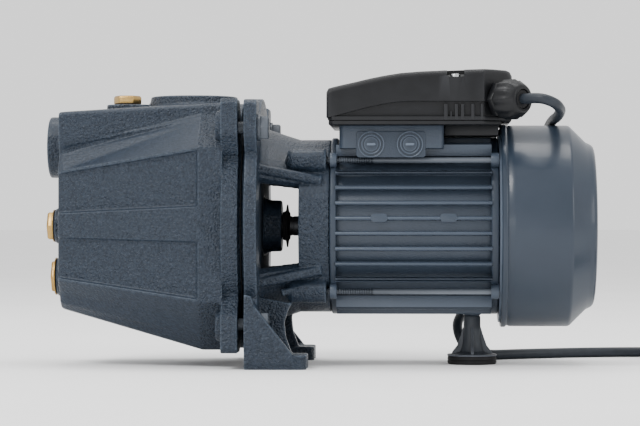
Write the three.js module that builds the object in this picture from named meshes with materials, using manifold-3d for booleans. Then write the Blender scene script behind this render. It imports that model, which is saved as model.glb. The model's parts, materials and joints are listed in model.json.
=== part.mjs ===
// Shallow well jet pump: cast pump end, motor bracket, finned motor, fan cover, terminal box and mains lead.
// Millimetres, +Z up. The shaft runs along X, with the fan end at +X. -Y is the side with the knock-outs.
// The origin is on the ground, under the middle of the machine. The lead and its plug lie outside that middle.
import * as THREE from "three";
import { mergeVertices } from "three/addons/utils/BufferGeometryUtils.js";
import Module from "manifold-3d";

const wasm = await Module();
wasm.setup();

// ---------------------------------------------------------------- driving dimensions
const AXIS_HEIGHT = 97; // shaft axis above the ground
const GROUND = -AXIS_HEIGHT; // the ground, measured from the shaft axis
const GAP = 0.3; // clearance between pieces that fit together
const SHAFT_RADIUS = 7;

// Sides of round pieces: small, middling and the largest
const FEW = 8;
const SIDES = 16;
const MANY = 32;

// Stations along the shaft, X
const PORT_FACE = -189.5;
const CASING_FRONT = -177.5;
const CASING_BACK = -79; // where the tapered part of the casing ends
const CASING_FLANGE = [-63.8, -52.1];
const BRACKET_FLANGE = [-48, -39.2];
const BRACKET_HUB_END = -26.2;
const BRACKET_RING = [-12.3, 8.5];
const FRAME = [9, 125];
const END_SHIELD = [125.3, 131];
const COWL = [127, 192];

// Pump end
const FLANGE_RADIUS = 88;
const LUG_Y = 72; // casing bolt, sideways from the axis
const LUG_Z = 66.6; // casing bolt, above and below the axis
const LUG_REACH = [85, 85.8]; // outer faces of the corner lugs, Y and Z
const RIM_RADIUS = 80;
const WET_RADIUS = 74; // bore of the casing at its open end
const PORT_RADIUS = 15.2; // bore of a one inch pipe thread
const SUCTION_HEIGHT = 55.3;
const DISCHARGE_X = -88.3;
const DISCHARGE_TOP = 90.8;
const FILLING_X = -135.7;
const FILLING_TOP = 85.2;
const DRAIN_HEIGHT = -35.6;

// Motor
const ROD = { y: 45.5, z: 45, radius: 2.1, head: 3.7 };
const BARREL = { inner: 54.5, outer: 57.3 };
const FIN_CIRCLE = 63.4; // circle that the fin tips follow
const FIN_REACH = 61.8; // and the flat that cuts the longest of them off
const FIN_PITCH = 10.4;
const FIN_THICKNESS = 2.4;
const COWL_RADIUS = 70.2;
const FOOT_X = 107.2; // support foot under the motor

// Terminal box
const BASE = { x: [15.4, 87.2], halfWidth: 52, z: [53, 68.9] };
const BASE_NECK = { halfWidth: 37, bottom: 49.4 };
const BASE_PAD = { x: [27.2, 74.6], face: 52.9, root: 48.2, z: [46.6, 64.9] };
const KNOCK_OUT = { x: [37.4, 63.9], height: 55.8, radius: 8.8, island: 6.6, depth: 0.7 };
const COVER = { x: [7, 134], halfWidth: 62, z: 72, wall: 2.5 };
const CORNER_START = 114.5; // X where the corner under the cable gland is cut off
const GLAND_ANGLE = THREE.MathUtils.degToRad(42); // turned from +X towards -Y
const GLAND_HEIGHT = 86;

// Mains lead
const CABLE_RADIUS = 3.6;
const COIL = { x: 286, y: 60, mean: 40, halfWidth: 7.3, height: 14.6 };
const PLUG = { y: 5, radius: 18.5 };

// ---------------------------------------------------------------- materials
function finish(color, roughness, metalness) {
  return new THREE.MeshStandardMaterial({ color, roughness, metalness });
}

const castPaint = () => finish(0x3c4653, 0.55, 0.1);
const motorPaint = () => finish(0x46525f, 0.4, 0.2);
const brass = () => finish(0xb08446, 0.35, 1);
const zincSteel = () => finish(0x9a9c9e, 0.35, 1);
const darkSteel = () => finish(0x5b5f63, 0.4, 1);
const rubber = () => finish(0x1b1c1d, 0.8, 0);
const blackPlastic = () => finish(0x202225, 0.5, 0);
const palePlastic = () => finish(0xc9c3b4, 0.6, 0);
const aluminium = () => finish(0xb9bcbf, 0.45, 1);
const copper = () => finish(0xa8622f, 0.4, 1);
const lamination = () => finish(0x6d6f72, 0.6, 1);

// ---------------------------------------------------------------- solids
function signedVolume(points, corners) {
  const [a, b, c] = [new THREE.Vector3(), new THREE.Vector3(), new THREE.Vector3()];
  let sum = 0;
  for (let i = 0; i < corners.length; i += 3) {
    a.fromArray(points, corners[i] * 3);
    b.fromArray(points, corners[i + 1] * 3);
    c.fromArray(points, corners[i + 2] * 3);
    sum += a.dot(b.cross(c)) / 6;
  }
  return sum;
}

// A closed geometry as a solid: shared corners merged, empty triangles dropped, faces pointing out.
function solid(geometry) {
  const bare = geometry.clone();
  bare.deleteAttribute("normal");
  bare.deleteAttribute("uv");
  const merged = mergeVertices(bare, 1e-4);
  const points = merged.attributes.position.array;
  const corners = [];
  for (let i = 0; i < merged.index.count; i += 3) {
    const [a, b, c] = [0, 1, 2].map((k) => merged.index.getX(i + k));
    if (a !== b && b !== c && c !== a) {
      corners.push(a, b, c);
    }
  }
  if (signedVolume(points, corners) < 0) {
    corners.reverse();
  }
  const triVerts = new Uint32Array(corners);
  return new wasm.Manifold(new wasm.Mesh({ numProp: 3, vertProperties: points, triVerts }));
}

function geometryOf(shape) {
  const { vertProperties, triVerts } = shape.getMesh();
  const geometry = new THREE.BufferGeometry();
  geometry.setAttribute("position", new THREE.BufferAttribute(vertProperties, 3));
  geometry.setIndex(new THREE.BufferAttribute(triVerts, 1));
  geometry.computeVertexNormals();
  return geometry;
}

function piece(name, shape, material) {
  const mesh = new THREE.Mesh(geometryOf(shape), material);
  mesh.name = name;
  return mesh;
}

const join = (first, ...others) => others.reduce((sum, next) => sum.add(next), first);
const cut = (first, ...others) => others.reduce((rest, next) => rest.subtract(next), first);

function bar([x0, x1], [y0, y1], [z0, z1]) {
  const box = new THREE.BoxGeometry(x1 - x0, y1 - y0, z1 - z0);
  box.translate((x0 + x1) / 2, (y0 + y1) / 2, (z0 + z1) / 2);
  return solid(box);
}

// Round or many-sided bars along X, Y and Z.
function alongX(radius, [x0, x1], y = 0, z = 0, sides = SIDES) {
  const bore = new THREE.CylinderGeometry(radius, radius, x1 - x0, sides);
  bore.rotateZ(-Math.PI / 2);
  bore.translate((x0 + x1) / 2, y, z);
  return solid(bore);
}

function alongY(radius, [y0, y1], x = 0, z = 0, sides = SIDES) {
  const bore = new THREE.CylinderGeometry(radius, radius, y1 - y0, sides);
  bore.translate(x, (y0 + y1) / 2, z);
  return solid(bore);
}

function alongZ(radius, [z0, z1], x = 0, y = 0, sides = SIDES) {
  const bore = new THREE.CylinderGeometry(radius, radius, z1 - z0, sides);
  bore.rotateX(Math.PI / 2);
  bore.translate(x, y, (z0 + z1) / 2);
  return solid(bore);
}

// A profile of [distance along the axis, radius] points turned round X or Z.
function turned(profile, sides, toAxis) {
  const lathe = new THREE.LatheGeometry(
    profile.map(([along, radius]) => new THREE.Vector2(radius, along)),
    sides,
  );
  toAxis(lathe);
  return solid(lathe);
}

const turnedX = (profile, sides = SIDES) => turned(profile, sides, (lathe) => lathe.rotateZ(-Math.PI / 2));
const turnedZ = (profile, sides = SIDES) => turned(profile, sides, (lathe) => lathe.rotateX(Math.PI / 2));
const closed = (profile) => [...profile, profile[0]];
const ringX = (inner, outer, [x0, x1], sides = SIDES) =>
  turnedX(closed([[x0, inner], [x0, outer], [x1, outer], [x1, inner]]), sides);

function extruded(outline, depth) {
  const shape = new THREE.Shape(outline.map(([u, v]) => new THREE.Vector2(u, v)));
  return new THREE.ExtrudeGeometry(shape, { depth, bevelEnabled: false, curveSegments: 6 });
}

// Outlines extruded along Y (given as X, Z) and along Z (as X, Y).
function plateY(outline, [y0, y1]) {
  const geometry = extruded(outline, y1 - y0);
  geometry.rotateX(Math.PI / 2);
  geometry.translate(0, y1, 0);
  return solid(geometry);
}

function plateZ(outline, [z0, z1]) {
  const geometry = extruded(outline, z1 - z0);
  geometry.translate(0, 0, z0);
  return solid(geometry);
}

// A closed skin through rings round the shaft axis that all have the same number of points.
// Each end is a fan of triangles from the axis.
function loft(rings) {
  const points = [];
  const ends = [rings[0], rings[rings.length - 1]].map((ring) => [[ring[0][0], 0, 0]]);
  [...rings, ...ends].forEach((ring) => ring.forEach((point) => points.push(...point)));
  const count = rings[0].length;
  const hub = rings.length * count;
  const corners = [];
  for (let ring = 0; ring + 1 < rings.length; ring += 1) {
    for (let i = 0; i < count; i += 1) {
      const [a, b] = [ring * count + i, ring * count + ((i + 1) % count)];
      corners.push(a, b, b + count, a, b + count, a + count);
    }
  }
  for (let i = 0; i < count; i += 1) {
    const last = (rings.length - 1) * count;
    const next = (i + 1) % count;
    corners.push(hub, next, i, hub + 1, last + i, last + next);
  }
  const geometry = new THREE.BufferGeometry();
  geometry.setAttribute("position", new THREE.Float32BufferAttribute(points, 3));
  geometry.setIndex(corners);
  return solid(geometry);
}

// Both halves of a section across the shaft, from the points of one half, top to bottom.
function section(x, half) {
  const near = half.filter(([y]) => y > 0).reverse();
  return [...half.map(([y, z]) => [x, y, z]), ...near.map(([y, z]) => [x, -y, z])];
}

function corners4(y, z) {
  return [[-y, z], [y, z], [-y, -z], [y, -z]];
}

// ---------------------------------------------------------------- pump casing
const FRONT_HALF = [
  [0, 78.6], [30, 78.6], [46, 78.4], [46, 56], [42.5, 50], [50, 37], [50, -37], [40, -47], [30, -57.6], [0, -57.6],
];
const BACK_HALF = [
  [0, 85.5], [30, 85.3], [46, 83.6], [47, 77], [62, 66.5], [78, 52.9], [78, -51.5], [63, -66], [46, -85], [0, -85],
];
const FRONT_CAVITY = [[0, 48], [33, 41], [44, 33], [44, -33], [34, -43], [24, -51], [0, -51]];
const BACK_CAVITY = [[0, 77], [40, 70], [71, 49], [71, -48], [58, -62], [40, -78], [0, -78]];

// A squared lug round each bolt, standing out of the round flange.
function flangeLugs(span) {
  const [reachY, reachZ] = LUG_REACH;
  return corners4(1, 1).map(([sideY, sideZ]) => {
    const spanY = [56, reachY].map((y) => y * sideY).sort((a, b) => a - b);
    const spanZ = [52, reachZ].map((z) => z * sideZ).sort((a, b) => a - b);
    return bar(span, spanY, spanZ);
  });
}

const boltHoles = (radius, span) => corners4(LUG_Y, LUG_Z).map(([y, z]) => alongX(radius, span, y, z, FEW));

// The ejector housing stands inside the casing and is cast in one with it.
function ejectorHousing() {
  return join(
    alongX(22, [CASING_FRONT + 1, -128]),
    alongZ(18.5, [3, SUCTION_HEIGHT - 5], -147),
    alongX(19, [CASING_FRONT + 1, -134], 0, SUCTION_HEIGHT),
  );
}

function casingBores() {
  return [
    alongX(PORT_RADIUS, [PORT_FACE - 1, -140], 0, SUCTION_HEIGHT), // suction port
    alongZ(13, [1.5, SUCTION_HEIGHT - 4], -147), // down to the ejector
    alongX(8.3, [PORT_FACE, -174], 0, 0, FEW), // front plug
    alongX(12, [-175, -163], 0, 0, FEW), // pressure chamber of the nozzle
    alongY(4.5, [-25, 25], -169, 0, 8), // lets pressure water reach the nozzle
    alongX(8.3, [-164, -156], 0, 0, FEW), // seat of the nozzle
    alongX(15, [-157, -134]), // suction chamber
    alongX(11.3, [-135, -127]), // seat of the venturi tube
    alongX(8.3, [-190, -165], 0, DRAIN_HEIGHT, FEW), // drain plug
    alongZ(PORT_RADIUS, [70, DISCHARGE_TOP + 1], DISCHARGE_X), // discharge port
    alongZ(6.5, [20, FILLING_TOP + 1], FILLING_X, 0, FEW), // filling hole
  ];
}

function pumpCasing() {
  const [flangeFront, flangeBack] = CASING_FLANGE;
  const shell = join(
    loft([
      section(CASING_FRONT, FRONT_HALF), section(CASING_BACK, BACK_HALF), section(flangeFront + 1, BACK_HALF),
    ]),
    turnedX([
      [flangeFront, 0], [flangeFront, FLANGE_RADIUS], [flangeBack, FLANGE_RADIUS], [flangeBack, RIM_RADIUS],
      [-51, RIM_RADIUS], [-51, 0],
    ], MANY),
    ...flangeLugs(CASING_FLANGE),
    alongX(21.5, [PORT_FACE, -150], 0, SUCTION_HEIGHT),
    alongX(12.35, [-186.5, -170]),
    alongX(14, [-184.9, -170], 0, DRAIN_HEIGHT),
    bar([-149.5, -117], [-16, 16], [60, FILLING_TOP]),
    alongZ(30.7, [60, DISCHARGE_TOP], DISCHARGE_X, 0, MANY),
  );
  const cavity = loft([section(CASING_FRONT + 6, FRONT_CAVITY), section(-72, BACK_CAVITY)]);
  const open = alongX(WET_RADIUS, [-73, -50], 0, 0, MANY);
  const hollow = join(cut(shell, cavity, open), ejectorHousing());
  return cut(hollow, ...casingBores(), ...boltHoles(4.6, [-75, -50]));
}

// ---------------------------------------------------------------- pump end pieces
const hexRadius = (acrossFlats) => acrossFlats / Math.sqrt(3);
const washerX = (inner, outer, span) => ringX(inner, outer, span);

function ejectorNozzle() {
  const outside = [[-168, 4], [-168, 11], [-164.4, 11], [-164.4, 8], [-156, 8], [-143, 5.2], [-143, 3]];
  return turnedX(closed([...outside, [-150, 3.6], [-160, 5.5]]), FEW);
}

function venturiTube() {
  const outside = [[-138, 9.6], [-138, 10.9], [-124, 10.9], [-86.5, 14], [-86.5, 12]];
  return turnedX(closed([...outside, [-100, 8], [-126, 5]]));
}

function diffuser() {
  const body = turnedX(closed([
    [-86, 17.5], [-86, 62], [-57, 62], [-57, 58], [-81, 58], [-81, 17.5],
  ]));
  const vanes = [0, 1, 2, 3, 4, 5].map((turn) => {
    const vane = bar([-91, -85.5], [24, 58], [-1.5, 1.5]);
    return vane.rotate([turn * 60 + 20, 0, 0]);
  });
  return join(body, ...vanes);
}

function impeller() {
  const disc = turnedX(closed([
    [-79, 6.3], [-79, 10], [-62, 11], [-62, 54], [-59, 54], [-59, 10.5], [-57.5, 10.5], [-57.5, 6.3],
  ]));
  const eye = turnedX(closed([
    [-79.5, 14.5], [-79.5, 17], [-71.5, 18.5], [-70.3, 54], [-68.3, 54], [-69.6, 16.5],
  ]));
  const vanes = [0, 1, 2, 3, 4, 5].map((turn) => {
    const vane = bar([-69.5, -61], [15, 53.5], [-1.2, 1.2]);
    return vane.translate([0, 0, 6]).rotate([turn * 60, 0, 0]);
  });
  return join(disc, eye, ...vanes);
}

function sealSpring() {
  const [radius, start, turns, pitch] = [10.6, -56.5, 2.6, 1.7];
  const steps = 36;
  const points = [];
  for (let i = 0; i <= steps; i += 1) {
    const angle = (i / steps) * turns * 2 * Math.PI;
    points.push(new THREE.Vector3(
      start + (i / steps) * turns * pitch,
      radius * Math.cos(angle),
      radius * Math.sin(angle),
    ));
  }
  const wire = new THREE.Shape(new THREE.Path().absarc(0, 0, 0.6, 0, 2 * Math.PI).getPoints(5).slice(0, -1));
  const extrudePath = new THREE.CatmullRomCurve3(points);
  return solid(new THREE.ExtrudeGeometry(wire, { steps: 26, extrudePath }));
}

function casingBolt(y, z) {
  const shank = alongX(4, [-66, -36], y, z, FEW);
  const head = alongX(hexRadius(15), [-37, -31.5], y, z, 6);
  return join(shank, head);
}

// ---------------------------------------------------------------- bracket
const WINDOW = { x: [-38.7, -12.5], z: [-32, 33] };
const FOOT = { x: [-48, -6], y: [46, 84], thickness: 9.5, slot: 66 };

function bracketFoot(side) {
  const across = FOOT.y.map((y) => y * side).sort((a, b) => a - b);
  const web = [51, 59].map((y) => y * side).sort((a, b) => a - b);
  const slotCentre = FOOT.slot * side;
  const gusset = [[-47, -50], [-20, -54], [-23, -66], [-16, GROUND + 5], [-47, GROUND + 5]];
  const foot = join(
    bar(FOOT.x, across, [GROUND, GROUND + FOOT.thickness]),
    bar(BRACKET_FLANGE, across, [GROUND, -60]),
    plateY(gusset, web),
  );
  const slot = join(
    bar([-16, FOOT.x[1] + 1], [slotCentre - 4.5, slotCentre + 4.5], [GROUND - 1, GROUND + 12]),
    alongZ(4.5, [GROUND - 1, GROUND + 12], -16, slotCentre, FEW),
  );
  return cut(foot, slot);
}

// Flange, rim and seal hub, turned in one with the seat of the shaft seal.
function bracketFlange() {
  const [front, back] = BRACKET_FLANGE;
  return turnedX(closed([
    [-50, 14], [-50, RIM_RADIUS], [front, RIM_RADIUS], [front, FLANGE_RADIUS], [back, FLANGE_RADIUS],
    [back, 18], [BRACKET_HUB_END, 18], [BRACKET_HUB_END, 8.2], [-42, 8.2], [-42, 14],
  ]), MANY);
}

// Motor ring, its web and the housing of the front bearing.
function bracketRing() {
  const [front, back] = BRACKET_RING;
  return turnedX(closed([
    [front, 8.2], [front, 60.5], [back, 60.5], [back, 48], [front + 6, 48], [front + 6, 24],
    [back - 1, 24], [back - 1, 18], [front + 4, 18], [front + 4, 8.2],
  ]), MANY);
}

function pumpBracket() {
  const [flangeBack, ringFront] = [BRACKET_FLANGE[1], BRACKET_RING[0]];
  const cone = turnedX(closed([
    [flangeBack - 2, 60], [flangeBack - 2, 68], [ringFront + 2, 60], [ringFront + 2, 53],
  ]), MANY);
  const windows = bar(WINDOW.x, [-80, 80], WINDOW.z);
  const rodBosses = corners4(ROD.y, ROD.z).map(([y, z]) => alongX(7.5, [-18, 6.5], y, z, SIDES));
  const body = join(
    bracketFlange(),
    ...flangeLugs(BRACKET_FLANGE),
    cut(cone, windows),
    bracketRing(),
    ...rodBosses,
    bracketFoot(1),
    bracketFoot(-1),
  );
  const rodHoles = corners4(ROD.y, ROD.z).map(([y, z]) => alongX(ROD.radius + GAP, [-6, 10], y, z, FEW));
  return cut(body, ...boltHoles(4.6, [-50, -38]), ...rodHoles);
}

// ---------------------------------------------------------------- rotor
function rotorShaft() {
  return turnedX([
    [-87, 0], [-87, 4.7], [-79.2, 4.7], [-79.2, 6], [-57, 6], [-57, SHAFT_RADIUS], [163, SHAFT_RADIUS],
    [164, 6], [172, 6], [172, 0],
  ]);
}

function coolingFan() {
  const hub = ringX(SHAFT_RADIUS + GAP, 13, [143, 162.5]);
  const disc = ringX(12, 40, [148, 150]);
  const blades = [0, 1, 2, 3, 4, 5, 6].map((turn) => {
    const blade = bar([143, 166], [12, 60], [-1, 1]);
    return blade.rotate([turn * (360 / 7), 0, 0]);
  });
  return join(hub, disc, ...blades);
}

// Rings, balls and shields as one solid, with the shield set back on the side that shows.
function bearing(inner, outer, [x0, x1]) {
  return turnedX(closed([
    [x0, inner], [x0, outer], [x1, outer], [x1, outer - 3], [x1 - 1, outer - 3], [x1 - 1, inner + 3],
    [x1, inner + 3], [x1, inner],
  ]), 20);
}

// ---------------------------------------------------------------- motor
// Fins on all four sides, each ending on the fin circle or on the flat that cuts it off.
function fins() {
  const bars = [];
  for (const place of [-3.5, -2.5, -1.5, -0.5, 0.5, 1.5, 2.5, 3.5]) {
    const centre = place * FIN_PITCH;
    const reach = Math.min(FIN_REACH, Math.sqrt(FIN_CIRCLE ** 2 - centre ** 2));
    const across = [centre - FIN_THICKNESS / 2, centre + FIN_THICKNESS / 2];
    bars.push(bar([FRAME[0] + 4, FRAME[1] - 5], [-reach, reach], across));
    bars.push(bar([FRAME[0] + 4, FRAME[1] - 5], across, [-reach, reach]));
  }
  return bars;
}

function motorFrame() {
  const { x, halfWidth, z } = BASE;
  const body = join(
    alongX(BARREL.outer, FRAME, 0, 0, MANY),
    alongX(FIN_REACH, [FRAME[0], FRAME[0] + 4.5], 0, 0, MANY),
    alongX(FIN_REACH, [FRAME[1] - 5.5, FRAME[1]], 0, 0, MANY),
    ...fins(),
    bar(x, [-halfWidth, halfWidth], z),
    bar([x[0] + 0.5, x[1] - 0.5], [-BASE_NECK.halfWidth, BASE_NECK.halfWidth], [BASE_NECK.bottom, z[0] + 1]),
    bar(BASE_PAD.x, [-BASE_PAD.face, -BASE_PAD.root], BASE_PAD.z),
    bar(BASE_PAD.x, [BASE_PAD.root, BASE_PAD.face], BASE_PAD.z),
    alongZ(6, [-62.6, -50], FOOT_X, 0, FEW),
    ...[31.5, 88.5].map((pad) => bar([pad, pad + 11.5], [-FIN_REACH, -56], [0.9, 8.5])),
  );
  const groove = [-BASE_PAD.face - 1, -BASE_PAD.face + KNOCK_OUT.depth];
  const knockOuts = KNOCK_OUT.x.map((knockOut) =>
    cut(
      alongY(KNOCK_OUT.radius, groove, knockOut, KNOCK_OUT.height),
      alongY(KNOCK_OUT.island, [groove[0] - 1, groove[1] + 1], knockOut, KNOCK_OUT.height),
    ));
  return cut(
    body,
    ...knockOuts,
    alongX(BARREL.inner, [FRAME[0] - 1, FRAME[1] + 1], 0, 0, MANY),
    bar([x[0] + 4, x[1] - 4], [-halfWidth + 4, halfWidth - 4], [61, z[1] + 1]),
    ...corners4(ROD.y, ROD.z).map(([y, s]) =>
      alongX(ROD.radius + 0.7, [FRAME[0] - 1, FRAME[1] + 1], y, s, 8)),
    alongZ(3.2, [-64, -54], FOOT_X, 0, FEW),
  );
}

function endShield() {
  const [x0, x1] = END_SHIELD;
  const plate = ringX(17.8, 67.6, [x0, x1], MANY);
  const hub = ringX(17.8, 23, [x0, 142]);
  const back = ringX(8.2, 19, [139, 142]);
  const holes = corners4(ROD.y, ROD.z).map(([y, z]) => alongX(ROD.radius + GAP, [120, 140], y, z, FEW));
  return cut(join(plate, hub, back), ...holes);
}

function tieRod(y, z) {
  const rod = alongX(ROD.radius, [-5, END_SHIELD[1] + 1], y, z, FEW);
  const head = alongX(ROD.head, [END_SHIELD[1] + GAP, END_SHIELD[1] + 4.3], y, z, 6);
  return join(rod, head);
}

function fanCover() {
  const [x0, x1] = COWL;
  const [radius, wall] = [COWL_RADIUS, 1.7];
  const shell = turnedX(closed([
    [x0, radius - 1.9], [x0, 71], [x0 + 3, 71], [x0 + 3.4, radius], [174.6, radius], [188.5, 59.5],
    [x1 - 0.6, 55], [x1, 48], [x1, 12], [x1 - wall, 12], [x1 - wall, 54], [173.8, radius - 1.9],
  ]), 48);
  const centre = alongX(13, [x1 - wall, x1]);
  const slots = [];
  for (let turn = 0; turn < 18; turn += 1) {
    const slot = bar([x1 - 4, x1 + 1], [19, 49], [-2.2, 2.2]);
    slots.push(slot.rotate([turn * 20, 0, 0]));
  }
  return cut(join(shell, centre), ...slots);
}

function supportFoot() {
  const post = turnedZ([
    [-92.5, 0], [-92.5, 16.2], [-90.6, 16.2], [-90.6, 8.5], [-86, 6.2], [-62.9, 5.8], [-62.9, 0],
  ]);
  const ribs = [0, 1, 2, 3].map((turn) => {
    const rib = plateY([[0, -91], [12.5, -91], [10, -88], [5.6, -74], [0, -74]], [-1, 1]);
    return rib.rotate([0, 0, turn * 90 + 45]);
  });
  return join(post, ...ribs).translate([FOOT_X, 0, 0]);
}

const supportPad = () =>
  turnedZ([[GROUND, 0], [GROUND, 16], [GROUND + 1, 17], [-92.8, 17], [-92.8, 0]]).translate([FOOT_X, 0, 0]);

// ---------------------------------------------------------------- terminal box
const COVER_SCREW = { x: 95, y: 56, bottom: 101.3, top: 103.8 };
const COVER_TOP = [[7, 93.5], [15, 95.6], [36, 100.4], [58, 104.3], [71, 105.2], [126, 107], [131, 106.4], [134, 103]];

function coverPlan(inset) {
  const [x0, x1] = [COVER.x[0] + inset, COVER.x[1] - inset];
  const width = COVER.halfWidth - inset;
  const drop = (COVER.x[1] - CORNER_START) / Math.tan(GLAND_ANGLE) + inset * 0.4;
  return [
    [x0 + 5, -width], [CORNER_START, -width], [x1, -width + drop], [x1, width - 8], [x1 - 8, width],
    [x0 + 5, width], [x0, width - 5], [x0, -width + 5],
  ];
}

function coverBody(inset, bottom) {
  const [x0, x1] = [COVER.x[0] + inset, COVER.x[1] - inset];
  const top = COVER_TOP.map(([x, z]) => [Math.min(Math.max(x, x0), x1), z - inset]);
  const side = plateY([[x0, bottom], ...top, [x1, bottom]], [-COVER.halfWidth, COVER.halfWidth]);
  return side.intersect(plateZ(coverPlan(inset), [bottom - 1, 120]));
}

// A tool along the gland's axis, moved to where that axis leaves the cut corner.
function atGland(shape) {
  const middle = [(CORNER_START + COVER.x[1]) / 2, -COVER.halfWidth + 10.8];
  return shape.rotate([0, 0, -THREE.MathUtils.radToDeg(GLAND_ANGLE)]).translate([...middle, GLAND_HEIGHT]);
}

function terminalCover() {
  const shell = cut(coverBody(0, COVER.z), coverBody(COVER.wall, COVER.z - 1));
  const wells = [-1, 1].map((side) => alongZ(4, [COVER.z, 104], COVER_SCREW.x, COVER_SCREW.y * side, FEW));
  const seats = [-1, 1].map((side) => {
    const across = [51 * side, 63 * side].sort((a, b) => a - b);
    return bar([89, 101], across, [101, 110]);
  });
  const screwHoles = [-1, 1].map((side) =>
    alongZ(2.2, [70, 110], COVER_SCREW.x, COVER_SCREW.y * side, FEW));
  const posts = wells.map((well) => well.intersect(coverBody(0, COVER.z)));
  const floors = [-1, 1].map((side) => {
    const across = [51 * side, 61.5 * side].sort((a, b) => a - b);
    return bar([88, 102], across, [98.5, 101]);
  });
  const body = join(cut(shell, ...seats), ...posts, ...floors);
  return cut(body, ...seats, ...screwHoles, atGland(alongX(8.4, [-12, 6])));
}

// The box's floor reaches down between the raised base and the end of the frame.
const TRAY = { x: [87.7, 119], halfWidth: 36, bottom: 62.2 };

function boxBasePlate() {
  const plan = coverPlan(0.4);
  const plate = plateZ(plan, [69.2, COVER.z - 0.3]);
  const holes = [-1, 1].map((side) => alongZ(1.6, [68, 73], COVER_SCREW.x, COVER_SCREW.y * side, FEW));
  const wireHole = bar([62, 80], [-30, -10], [68, 73]);
  const pastFrame = bar([FRAME[1] + 1, 140], [-70, 70], [68, 73]);
  const tray = bar(TRAY.x, [-TRAY.halfWidth, TRAY.halfWidth], [TRAY.bottom, 70]);
  return join(cut(plate, ...holes, wireHole, pastFrame), tray);
}

function coverScrew(side) {
  const [x, y] = [COVER_SCREW.x, COVER_SCREW.y * side];
  const head = alongZ(3.8, [COVER_SCREW.bottom, COVER_SCREW.top], x, y, FEW);
  const shank = alongZ(1.4, [71, COVER_SCREW.bottom + 0.7], x, y, FEW);
  const slot = bar([x - 4, x + 4], [y - 0.5, y + 0.5], [COVER_SCREW.top - 1, COVER_SCREW.top + 1]);
  return cut(join(head, shank), slot);
}

function terminalBlock() {
  const block = bar([20, 56], [-26, -4], [72, 84]);
  const wells = [0, 1, 2, 3].map((place) => alongZ(2.6, [76, 90], 25 + place * 8.7, -15, FEW));
  return cut(block, ...wells);
}

const runCapacitor = () => join(
  alongX(13.5, [52, 114], 26, 87),
  alongX(10, [46, 53], 26, 87, FEW),
);

function glandBody() {
  const thread = ringX(4.4, 8, [-9, 1]);
  const collar = cut(alongX(13.2, [0.6, 5.4], 0, 0, 6), alongX(4.4, [0, 6]));
  const neck = ringX(4.4, 8.6, [5, 17.8]);
  return atGland(join(thread, collar, neck));
}

function glandNut() {
  const cap = turnedX(closed([
    [5.7, 8.9], [5.7, 13.4], [18, 13.4], [22.3, 10.2], [22.3, 6.5], [18.4, 6.5], [18.4, 8.9],
  ]), 6);
  const ribbed = join(cap, ringX(8.9, 12.6, [5.7, 18.4]));
  return atGland(cut(ribbed, alongX(8.9, [5, 18.3]), alongX(6.5, [5, 23])));
}

const glandSeal = () => atGland(ringX(CABLE_RADIUS + 0.3, 6.2, [18.1, 22.2]));

// ---------------------------------------------------------------- mains lead
// The lead's middle line from the gland's mouth over the fan cover, down behind the motor to the ground
// beside the support foot, and along the ground to the coil. Heights are above the ground.
const LEAD_ROUTE = [
  [141.2, -66.5, 183], [147.8, -72.4, 183.2], [154.5, -76, 182.4], [161.5, -73.5, 179.8], [165.5, -63.5, 176.8],
  [166.5, -48, 174.8], [165.5, -26, 172.4], [164, 0, 171.2], [162, 26, 166.7], [159, 48, 154.4],
  [155, 64.5, 136.5], [150.5, 73.5, 115], [144, 76.5, 92], [134.5, 76, 69], [121, 72, 50],
  [106, 65, 38.5], [98, 56, 27], [100.5, 51, 14.5], [109, 51.5, 6.2], [121, 57, 3.8],
  [140, 68, 3.7], [163, 81, 3.7], [188, 93, 3.7], [214, 101, 3.7], [238, 103.6, 3.7], [259.6, 103.6, 3.7],
];
const PLUG_X = COIL.x + COIL.mean + CABLE_RADIUS;
const TAIL_ROUTE = [
  [PLUG_X, 33.5, 10.9], [PLUG_X, 26, 13], [PLUG_X, 18, 16.6], [PLUG_X, 10.4, 18.5], [PLUG_X, 5.4, 18.5],
];

function leadTube(route, steps) {
  const ring = new THREE.Path().absarc(0, 0, CABLE_RADIUS, 0, 2 * Math.PI).getPoints(4).slice(0, -1);
  const extrudePath = new THREE.CatmullRomCurve3(route.map((point) => new THREE.Vector3(...point)));
  return solid(new THREE.ExtrudeGeometry(new THREE.Shape(ring), { steps, extrudePath }));
}

function leadCoil() {
  const { mean, halfWidth, height } = COIL;
  const [inner, outer, round] = [mean - halfWidth, mean + halfWidth, 2.5];
  return turnedZ(closed([
    [0, inner + round], [0, outer - round], [round, outer], [height - round, outer],
    [height, outer - round], [height, inner + round], [height - round, inner], [round, inner],
  ]), 36).translate([COIL.x, COIL.y, 0]);
}

const PIN_SPACING = 9.5;

// The plug points along -Y. Its profile runs from the strain relief to the pin face.
function plugBody() {
  const profile = [
    [0, 0], [0, 4.8], [28, 8], [31, 15], [36, PLUG.radius], [66, PLUG.radius], [69, PLUG.radius - 2.5], [69, 0],
  ];
  const body = turnedX(profile).rotate([0, 0, -90]);
  const sockets = [-PIN_SPACING, PIN_SPACING].map((side) => alongY(2.7, [-70, -60], side, 0, FEW));
  return cut(body, ...sockets).translate([PLUG_X, PLUG.y, PLUG.radius]);
}

const plugPin = (side) =>
  alongY(2.4, [PLUG.y - 88, PLUG.y - 60.3], PLUG_X + side * PIN_SPACING, PLUG.radius, FEW);

// ---------------------------------------------------------------- the machine
const pump = new THREE.Group();
const machine = new THREE.Group();
machine.position.z = AXIS_HEIGHT;
pump.add(machine);

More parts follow.
